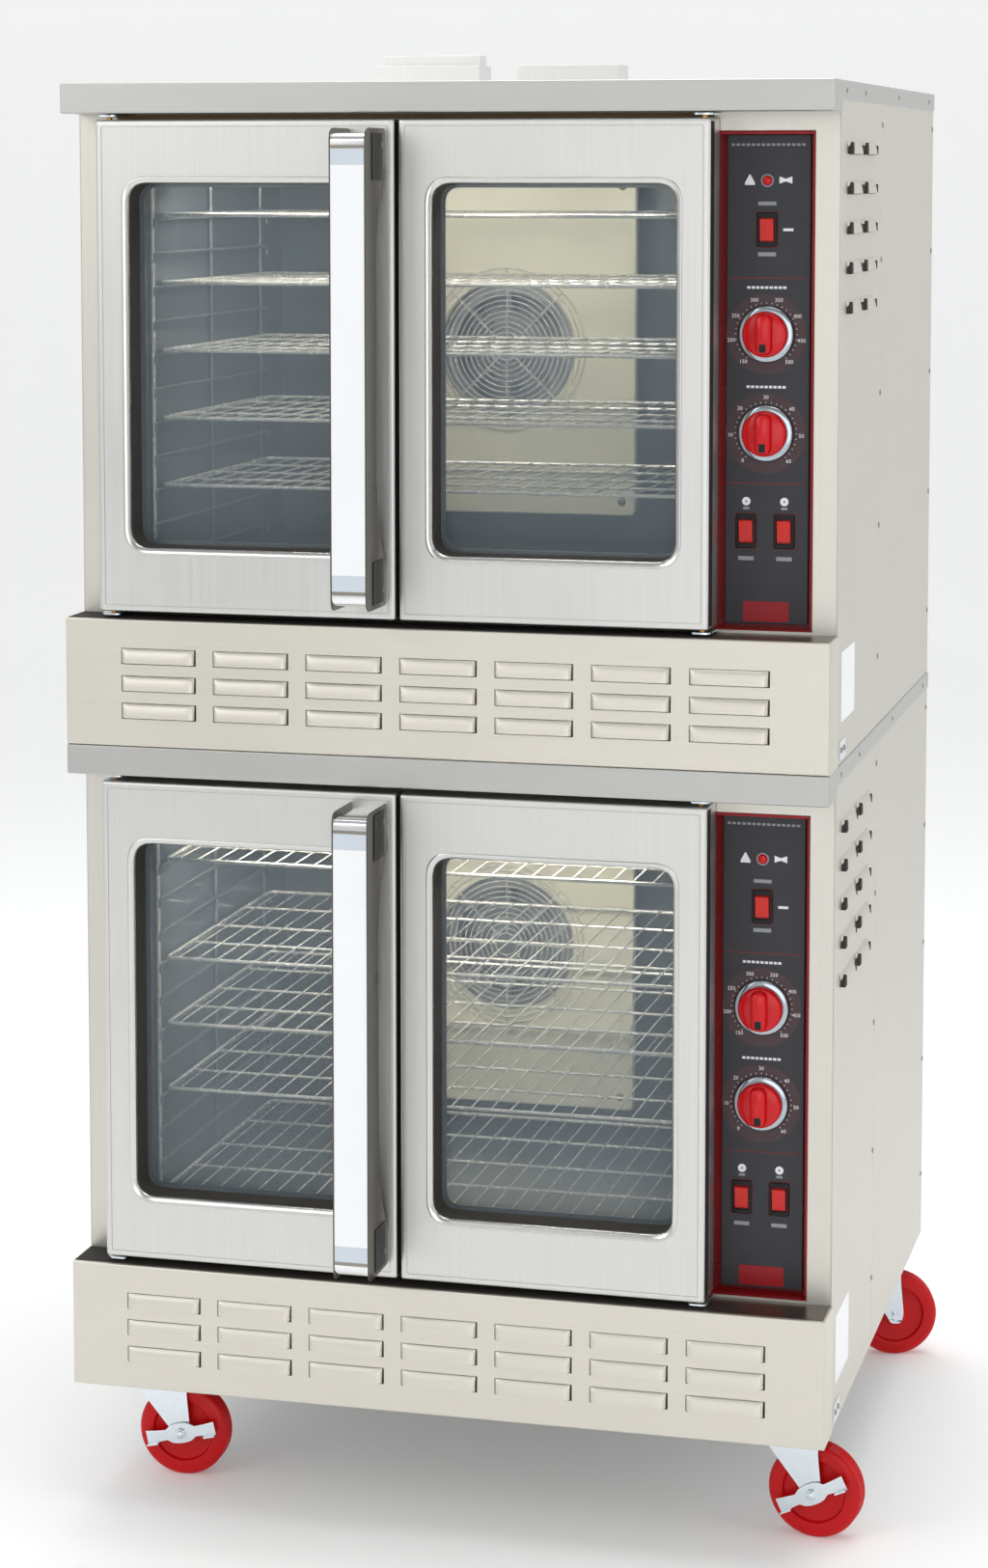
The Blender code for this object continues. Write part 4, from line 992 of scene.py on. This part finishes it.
# %% [markdown]
# ## Print on the plate
#
# Everything printed is a thin raised patch: ticks round a dial are one small block turned to
# each angle, and numbers are text made into triangles before it is placed.


# %% Printing
def written(text, size):
    """Flat figures in the plane of X and Z, about their middle, as triangles."""
    curve = bpy.data.curves.new("figures", "FONT")
    curve.body, curve.size, curve.align_x, curve.align_y = text, size, "CENTER", "CENTER"
    curve.extrude, curve.resolution_u = 0.0001, 2
    holder = bpy.data.objects.new("figures", curve)
    flat = bpy.data.meshes.new_from_object(holder)
    solid = bmesh.new()
    solid.from_mesh(flat)
    bmesh.ops.triangulate(solid, faces=solid.faces)
    points = np.array([(v.co.x, -v.co.z, v.co.y) for v in solid.verts])
    faces = np.array([[v.index for v in face.verts] for face in solid.faces])
    solid.free()
    bpy.data.objects.remove(holder)
    bpy.data.curves.remove(curve)
    bpy.data.meshes.remove(flat)
    return [(points, faces)]


def bar_print(x, z, width, height, y=None):
    y = PLATE_Y if y is None else y
    return panel((x - width / 2, y - 0.0003, z - height / 2), (x + width / 2, y + 0.0002, z + height / 2))


def around(x, z, radius, degrees, width, length):
    """One tick beside a dial; 0 degrees points up and angles run clockwise."""
    tick = panel((-width / 2, PLATE_Y - 0.0006, radius), (width / 2, PLATE_Y - 0.0001, radius + length))
    return shifted(rotated(tick, degrees, "Y"), (x, 0, z))


def disc(x, z, outer_radius, inner_radius, y):
    profile = [(inner_radius, y[0]), (outer_radius, y[0]), (outer_radius, y[1]), (inner_radius, y[1])]
    return turned(profile, (x, 0, z), "Y", 48, closed=True)


KNOBS = {"temp_knob": 0.548, "timer_knob": 0.422}
FIGURES = {"temp_knob": (150, 200, 250, 300, 350, 400, 450, 500), "timer_knob": (0, 10, 20, 30, 40, 50, 60)}
dials, white, grey = [], [], []
for knob, z in KNOBS.items():
    dials += disc(PANEL_X, z, 0.0515, 0.0370, (PLATE_Y - 0.0003, PLATE_Y + 0.0003))
    for degrees in np.linspace(-140, 140, 29):
        white += around(PANEL_X, z, 0.0385, degrees, 0.0006, 0.0020)
    for degrees, figure in zip(np.linspace(-140, 140, len(FIGURES[knob])), FIGURES[knob]):
        a = math.radians(degrees)
        spot = (PANEL_X + 0.0458 * math.sin(a), PLATE_Y - 0.0005, z + 0.0458 * math.cos(a))
        white += shifted(written(str(figure), 0.0070), spot)
    for column in np.linspace(-0.023, 0.023, 9):
        white += bar_print(PANEL_X + column, z + 0.0590, 0.0042, 0.0032)
on_decks("dial_rings", dials, dial_tint, slot="panel_black")
for column in np.linspace(-0.044, 0.046, 15):
    grey += bar_print(PANEL_X + column, 0.787, 0.0044, 0.0030)
for x, z, width, height in (
        (0.0, 0.7130, 0.023, 0.0046), (0.0, 0.6490, 0.023, 0.0050), (-0.0245, 0.262, 0.020, 0.0050),
        (0.0245, 0.262, 0.020, 0.0050)):
    grey += bar_print(PANEL_X + x, z, width, height)
white += bar_print(PANEL_X + 0.027, 0.680, 0.013, 0.0034)
on_decks("panel_print", white, white_print)

# a heat sign is a triangle on a bar, an air sign is two blades, and the lower pair are discs on a foot
heat = [(-0.0064, -0.0062), (0.0064, -0.0062), (0.0064, -0.0036), (0.0008, 0.0070), (-0.0008, 0.0070),
        (-0.0064, -0.0036)]
air = [(-0.0082, -0.0046), (0.0, -0.0016), (0.0082, -0.0046), (0.0082, 0.0046), (0.0, 0.0016),
       (-0.0082, 0.0046)]
icons = []
for outline, x in ((heat, -0.0225), (air, 0.0235)):
    icons += extruded(np.array(outline) + (PANEL_X + x, 0.7425), "XZ", PLATE_Y - 0.0003, PLATE_Y + 0.0002)
for x in (-0.0245, 0.0245):
    icons += disc(PANEL_X + x, 0.335, 0.0054, 0.0012, (PLATE_Y - 0.0003, PLATE_Y + 0.0002))
    grey += bar_print(PANEL_X + x, 0.3262, 0.0080, 0.0030)
on_decks("panel_icons", icons, white_print)
on_decks("panel_grey_print", grey, grey_print)
dividers = bar_print(PANEL_X, 0.619, 0.100, 0.0012) + bar_print(PANEL_X, 0.358, 0.100, 0.0012)
badge = extruded(rounded((0.381, 0.181), (0.440, 0.207), 0.003, 3), "XZ", PLATE_Y - 0.0005, PLATE_Y + 0.0002)
on_decks("panel_dividers", dividers, red_print)
on_decks("panel_badge", badge, badge_and_lit_tray_red)
print("figures on the dials:", FIGURES)

# %% [markdown]
# ## Signal lamp
#
# Between the two signs of each panel is a small red lamp, a turned dome in a thin pale ring.

# %% Lamp
lamp = turned([(0.0062, PLATE_Y), (0.0062, PLATE_Y - 0.0012), (0.0046, PLATE_Y - 0.0034),
               (0.0014, PLATE_Y - 0.0044)], (PANEL_X, 0, 0.742), "Y", 28)
on_decks("panel_lamp", lamp, knob_red)
lamp_ring = turned([(0.0064, 0.0), (0.0084, 0.0), (0.0084, -0.0010), (0.0076, -0.0018), (0.0064, -0.0014)],
                   (PANEL_X, PLATE_Y, 0.742), "Y", 32, closed=True)
on_decks("panel_lamp_ring", lamp_ring, grey_print)

# %% [markdown]
# ## Knobs
#
# A knob is a chrome skirt, a red cap and a grip that narrows towards its crest: two turned
# profiles and a loft of rounded strips. A dark window at the foot of the grip is the pointer.

# %% Knobs
for knob, z in KNOBS.items():
    at = (PANEL_X, PLATE_Y, z)
    skirt = turned([(0.004, 0.0165), (0.004, -0.0010), (0.0362, -0.0010), (0.0365, -0.0018),
                    (0.0355, -0.0040), (0.0340, -0.0050), (0.0285, -0.0056)], at, "Y", 64)
    on_decks(knob + "_skirt", skirt, knob_chrome, knob, "knob_red", (knob,), smooth=50)
    cap = turned([(0.0290, -0.0052), (0.0295, -0.0066), (0.0288, -0.0150), (0.0280, -0.0178),
                  (0.0262, -0.0190), (0.0120, -0.0196)], at, "Y", 64)
    half, reach = 0.0112, 0.0262
    grip = []
    for inset, y in ((0.0, -0.0185), (0.0006, -0.0240), (0.0018, -0.0285), (0.0034, -0.0298)):
        outline = rounded((inset - half, inset - reach), (half - inset, reach - inset),
                          half - inset - 0.0006, 6)
        grip.append(lay(outline, "XZ", y))
    cap += shifted(loft(grip), at)
    on_decks(knob + "_cap", cap, knob_red, knob, "knob_red", smooth=45)
    pointer = shifted(panel((-0.0042, -0.0300, -0.0222), (0.0042, -0.0290, -0.0118)), at)
    on_decks(knob + "_pointer", pointer, black_plastic, knob)

# %% [markdown]
# ## Rocker switches
#
# A rocker is a bar with a shallow roof, drawn from the side. It sits in a black bezel with a thin
# red line round it. Knobs and rockers ride on their own bodies, so they turn and tip with them.

# %% Rockers
ROCKERS = {"rocker_power": (0.0, 0.680), "rocker_light": (-0.0245, 0.297), "rocker_fan": (0.0245, 0.297)}
frames, bezels = [], []
for rocker, (x, z) in ROCKERS.items():
    x, wide, high = PANEL_X + x, 0.0135, 0.022
    rings = [lay(rounded((x - w, z - h), (x + w, z + h), 0.0025, 3), "XZ", y)
             for w, h, y in ((wide, high, PLATE_Y), (wide, high, PLATE_Y - 0.0022),
                             (wide - 0.0010, high - 0.0010, PLATE_Y - 0.0030),
                             (0.0102, 0.0164, PLATE_Y - 0.0030),
                             (0.0098, 0.0160, PLATE_Y - 0.0022), (0.0098, 0.0160, PLATE_Y))]
    bezels += loft(rings, closed=True)
    frames += bar_print(x, z, 0.0288, 0.0458, PLATE_Y)
    front, tilt, half = -0.0045, 0.0022, 0.0140
    outline = fillet([(front, 0.0), (front - tilt, half), (0.003, half), (0.005, 0.0), (0.003, -half),
                      (front + tilt, -half)], (0.004, 0.0014, 0.0008, 0.001, 0.0008, 0.0014), 3)
    body_piece = extruded(outline + (PLATE_Y - 0.001, z), "YZ", x - 0.0088, x + 0.0088)
    on_decks(rocker + "_cap", body_piece, rocker_red, rocker, "rocker_red", (rocker,), bevel=0.0006)
on_decks("panel_bezels", bezels, black_plastic, slot="panel_black", smooth=30)
on_decks("panel_bezel_frames", frames, red_print)
print("pieces so far:", len(made))

# %% [markdown]
# ## Casters
#
# A caster is drawn about its own swivel axis with the fork reaching along +X, then turned to its
# angle and moved to its place. A fork leg is wide at the crown and narrow at the axle. The wheel
# is one turned profile with a dished face, and its tread has fine grooves.

# %% Caster shapes
LEAD, AXLE_Z, LEVER_Y = 0.036, 0.0631, -0.024
YAW = {"front_left": 2.0, "front_right": -7.0, "rear_left": 170.0, "rear_right": 15.0}
TILT = {"front_left": 12.0, "front_right": 26.0}


def fork_shape():
    leg = fillet([(-0.0255, 0.1340), (-0.0255, 0.1215), (LEAD - 0.0125, AXLE_Z - 0.0005),
                  (LEAD - 0.0075, AXLE_Z - 0.0122), (LEAD + 0.0075, AXLE_Z - 0.0122),
                  (LEAD + 0.0125, AXLE_Z - 0.0005), (0.0435, 0.1150), (0.0435, 0.1340)],
                 (0.0008, 0.005, 0.010, 0.005, 0.005, 0.010, 0.006, 0.0008), 4)
    fork = extruded(leg, "XZ", -0.0224, -0.0192) + extruded(leg, "XZ", 0.0192, 0.0224)
    fork += extruded(fillet(rectangle((-0.0258, -0.0223), (0.0438, 0.0223)), 0.003, 3), "XY", 0.1308, 0.1346)
    race = [(0.010, 0.1346), (0.0300, 0.1346), (0.0345, 0.1362), (0.0360, 0.1395), (0.0345, 0.1425),
            (0.0335, 0.1435), (0.0350, 0.1448), (0.0350, 0.1494), (0.010, 0.1494)]
    fork += turned(race, (0, 0, 0), "Z", 40)
    nut = turned([(0.0092, 0.0), (0.0092, 0.0050), (0.0080, 0.0062)], (LEAD, 0.0226, AXLE_Z), "Y", 6)
    return fork + nut + turned([(0.0054, -0.0305), (0.0054, 0.0305)], (LEAD, 0, AXLE_Z), "Y", 20)


def wheel_shape():
    radius = AXLE_Z - 0.0001
    groove = [(radius - 0.0007 * (k % 2), 0.0085 - 0.0034 * k / 2) for k in range(11)]
    side = [(0.0060, 0.0168), (0.0150, 0.0168), (0.0165, 0.0158), (0.0180, 0.0112), (0.0380, 0.0104),
            (0.0408, 0.0112), (0.0430, 0.0156), (0.0460, 0.0162), (0.0540, 0.0156), (0.0600, 0.0138),
            (radius - 0.0010, 0.0114), (radius, 0.0098)]
    profile = side + groove + [(r, -y) for r, y in reversed(side)]
    return turned(profile, (LEAD, 0, AXLE_Z), "Y", 72)


def pedal_shape(tilt):
    """A narrow-waisted pedal: its half height is w + a x^2 on each side of the axle."""
    x = np.linspace(-0.0495, 0.0495, 15)
    bend = 0.0066 + 0.0034 * np.clip(np.abs(x) / 0.0495, 0, 1) ** 2
    hub = np.clip(1 - (np.abs(x) / 0.020) ** 2, 0, 1) ** 0.5 * 0.0110
    half = np.maximum(bend, bend * 0.9 + hub * 0.75)
    outline = np.concatenate([np.stack([x, -half], 1), np.stack([x, half], 1)[::-1]])
    pedal = extruded(outline, "XZ", LEVER_Y - 0.0028, LEVER_Y - 0.0002)
    for end in (-1, 1):
        low, high = sorted((end * 0.0330, end * 0.0492))
        tread = rectangle((low, -0.0098), (high, -0.0072))
        pedal += extruded(tread, "XZ", LEVER_Y - 0.0105, LEVER_Y - 0.0022)
    pedal += turned([(0.0082, -0.0028), (0.0082, -0.0058), (0.0070, -0.0068)], (0, LEVER_Y, 0), "Y", 6)
    pedal += turned([(0.0050, -0.0068), (0.0050, -0.0088), (0.0042, -0.0094)], (0, LEVER_Y, 0), "Y", 16)
    return shifted(rotated(pedal, -tilt, "Y"), (LEAD, 0, AXLE_Z))


# %% Casters in place
for corner, yaw in YAW.items():
    swivel = joints[corner + "_swivel"]["pos_m"]

    def stand(patches):
        return shifted(rotated(patches, yaw, "Z"), (swivel[0], swivel[1], 0))

    piece(f"caster_fork_{corner}_plate", stand(fork_shape()), zinc, corner + "_fork", "caster_chrome",
          [f"caster_fork_{corner}"], bevel=0.0008)
    piece(f"caster_wheel_{corner}_tyre", stand(wheel_shape()), urethane, corner + "_wheel",
          "caster_urethane", [f"caster_wheel_{corner}"], smooth=40)
    if corner in TILT:
        piece(f"brake_pedal_{corner}", stand(pedal_shape(TILT[corner])), zinc, corner + "_brake",
              "caster_chrome", [f"brake_lever_{corner}"], bevel=0.0007)
print("casters at:", [np.round(joints[c + "_swivel"]["pos_m"], 3).tolist() for c in YAW])

# %% [markdown]
# ## Flue outlets
#
# Open sheet ducts stand on a strip at the back of the upper cap, and one of them has a second,
# taller tier. Each is a plate-with-hole loft drawn tall, with a dark block inside that is painted shade.

# %% Flues
flue_low, flue_high = (np.array(corner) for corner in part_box("flue_vents"))
base_z = flue_low[2]
strip_x = (flue_low[0], flue_high[0])
ducts = panel((strip_x[0], flue_low[1], base_z), (strip_x[1], flue_high[1], base_z + 0.0016))
duct_shades = []
tier = flue_high[2] - base_z
SIZES = ((strip_x[0] + 0.012, strip_x[0] + 0.175, 0.045), (strip_x[1] - 0.168, strip_x[1] - 0.012, 0.045),
         (strip_x[0] + 0.016, strip_x[0] + 0.169, tier))
for index, (x0, x1, height) in enumerate(SIZES):
    y0, y1 = flue_low[1] + 0.0120, flue_high[1] - 0.0100
    if index == 2:
        y0, y1 = y0 + 0.025, y1 - 0.004
    low, high = np.array((x0, y0)), np.array((x1, y1))
    ducts += holed(rectangle(low, high), rectangle(low + 0.0018, high - 0.0018), "XY",
                   base_z + 0.0017, base_z + height)
    # a dark block up to near half the duct's height is painted shade inside it
    duct_shades += panel((x0 + 0.002, y0 + 0.002, base_z + 0.0018),
                    (x1 - 0.002, y1 - 0.002, base_z + height * 0.45))
piece("flue_ducts", ducts, flue_steel, "root", "flue_steel", ["flue_vents"], bevel=0.0005)
piece("flue_painted_shade", duct_shades, gasket_and_shade_black, "root")

# %% [markdown]
# ## Solids that keep their own shape
#
# The fan, its motor, the burner and the base frame are right as packed. They get materials only.

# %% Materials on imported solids
FINISHES = {"base_frame": frame_paint}
for deck in DECKS:
    FINISHES.update({deck + "fan_wheel": fan_metal, deck + "fan_motor": motor_enamel,
                     deck + "burner": burner_iron})
for node, finish in FINISHES.items():
    mesh = bpy.data.objects[node].data
    mesh.materials.clear()
    mesh.materials.append(finish)
print("pieces:", len(made))

# %% [markdown]
# ## Floor, light and camera
#
# The floor is a wide pale dish whose rim curves up in a quarter circle, so no edge shows from any
# side. It glows a little, most of all far behind the object. Large area lights give a flat light.

# %% Stage
GLOW = 0.19
turn = np.linspace(0, np.pi / 2, 13)
FLAT, SWEEP, WALL = 9.0, 3.0, 7.0
profile = [(0.02, 0.0)] + [(FLAT + SWEEP * math.sin(a), SWEEP * (1 - math.cos(a))) for a in turn]
profile += [(FLAT + SWEEP, WALL)]
backdrop = Finish("pale_backdrop")
distance = backdrop.node("ShaderNodeVectorMath", {"operation": "LENGTH"}, {0: backdrop.place}, "Value")
depth = backdrop.node("ShaderNodeSeparateXYZ", {}, {0: backdrop.place}, 1)


def soft_step(value, low, high):
    """0 below low, 1 above high, and a smooth S in between."""
    values = {"Value": value, "From Min": low, "From Max": high}
    return backdrop.node("ShaderNodeMapRange", {"interpolation_type": "SMOOTHSTEP"}, values, "Result")


far, behind = soft_step(distance, 1.2, 6.5), soft_step(depth, -3.0, 4.0)
glow = backdrop.times((1.0, 1.0, 0.985), far * behind * GLOW + 0.12)
dish_paint = backdrop.set(base_color=backdrop.times(rgb(249, 249, 249), far * -0.12 + 1.0),
                          roughness=0.8, emission_color=glow, emission_strength=1.0)
side_and_bottom = turned(profile, (0, 0, 0), "Z", 96)[:2]
floor = piece("studio_floor", side_and_bottom, dish_paint, None, smooth=60)


def area_light(name, place, target, size, power, colour=(1, 1, 1)):
    """A rectangular lamp whose back is turned away from the target."""
    light = bpy.data.lights.new(name, "AREA")
    light.shape, light.size, light.size_y = "RECTANGLE", size[0], size[1]
    light.energy, light.color = power, colour
    lamp = bpy.data.objects.new(name, light)
    lamp.location = place
    towards = Vector(target) - Vector(place)
    lamp.rotation_euler = towards.to_track_quat("-Z", "Y").to_euler()
    bpy.context.scene.collection.objects.link(lamp)


area_light("key", (-3.2, -4.6, 3.6), (0, 0, 0.9), (3.2, 3.2), 66, (1.0, 0.99, 0.97))
area_light("front", (1.4, -6.2, 1.6), (0, 0, 1.0), (3.6, 3.0), 44)
area_light("right", (4.6, -1.0, 2.4), (0, 0, 0.9), (2.6, 3.4), 28, (1.0, 0.99, 0.96))
area_light("overhead", (0.3, 0.3, 4.7), (0, 0.0, 0), (4.4, 3.6), 125)
area_light("back", (-1.5, 2.9, 3.6), (0, 0, 1.2), (3.0, 2.0), 25)
for deck in DECKS:
    middle_x, floor_y, floor_z = origin(deck) + (oven_x, 0.0, 0.0)
    for x in (-0.18, 0.18):
        area_light(deck + "oven_lamp", (middle_x + x, floor_y + 0.10, floor_z + 0.775),
                   (middle_x + x * 0.6, floor_y + 0.36, floor_z + 0.40), (0.26, 0.12), 2.8,
                   (1.0, 0.97, 0.90))
world = bpy.data.worlds.new("studio")
world.use_nodes = True
sky = world.node_tree.nodes["Background"].inputs
sky["Color"].default_value, sky["Strength"].default_value = (0.93, 0.95, 0.98, 1.0), 0.44
bpy.context.scene.world = world
bpy.context.scene.view_settings.view_transform = "Standard"

# %% [markdown]
# ## Camera
#
# A long lens from a little to the right and above shows two sides and the decks. It is tipped
# down only slightly and shifted the rest of the way, so upright edges stay nearly upright.

# %% Camera
lens = bpy.data.cameras.new("camera")
lens.lens, lens.sensor_width, lens.shift_y = 80.25, 36.0, -0.1923
camera = bpy.data.objects.new("camera", lens)
camera.location = (1.1771, -4.7282, 1.7931)
camera.rotation_euler = (math.pi / 2 - 0.0892, 0.0, 0.2517)
bpy.context.scene.collection.objects.link(camera)
bpy.context.scene.camera = camera
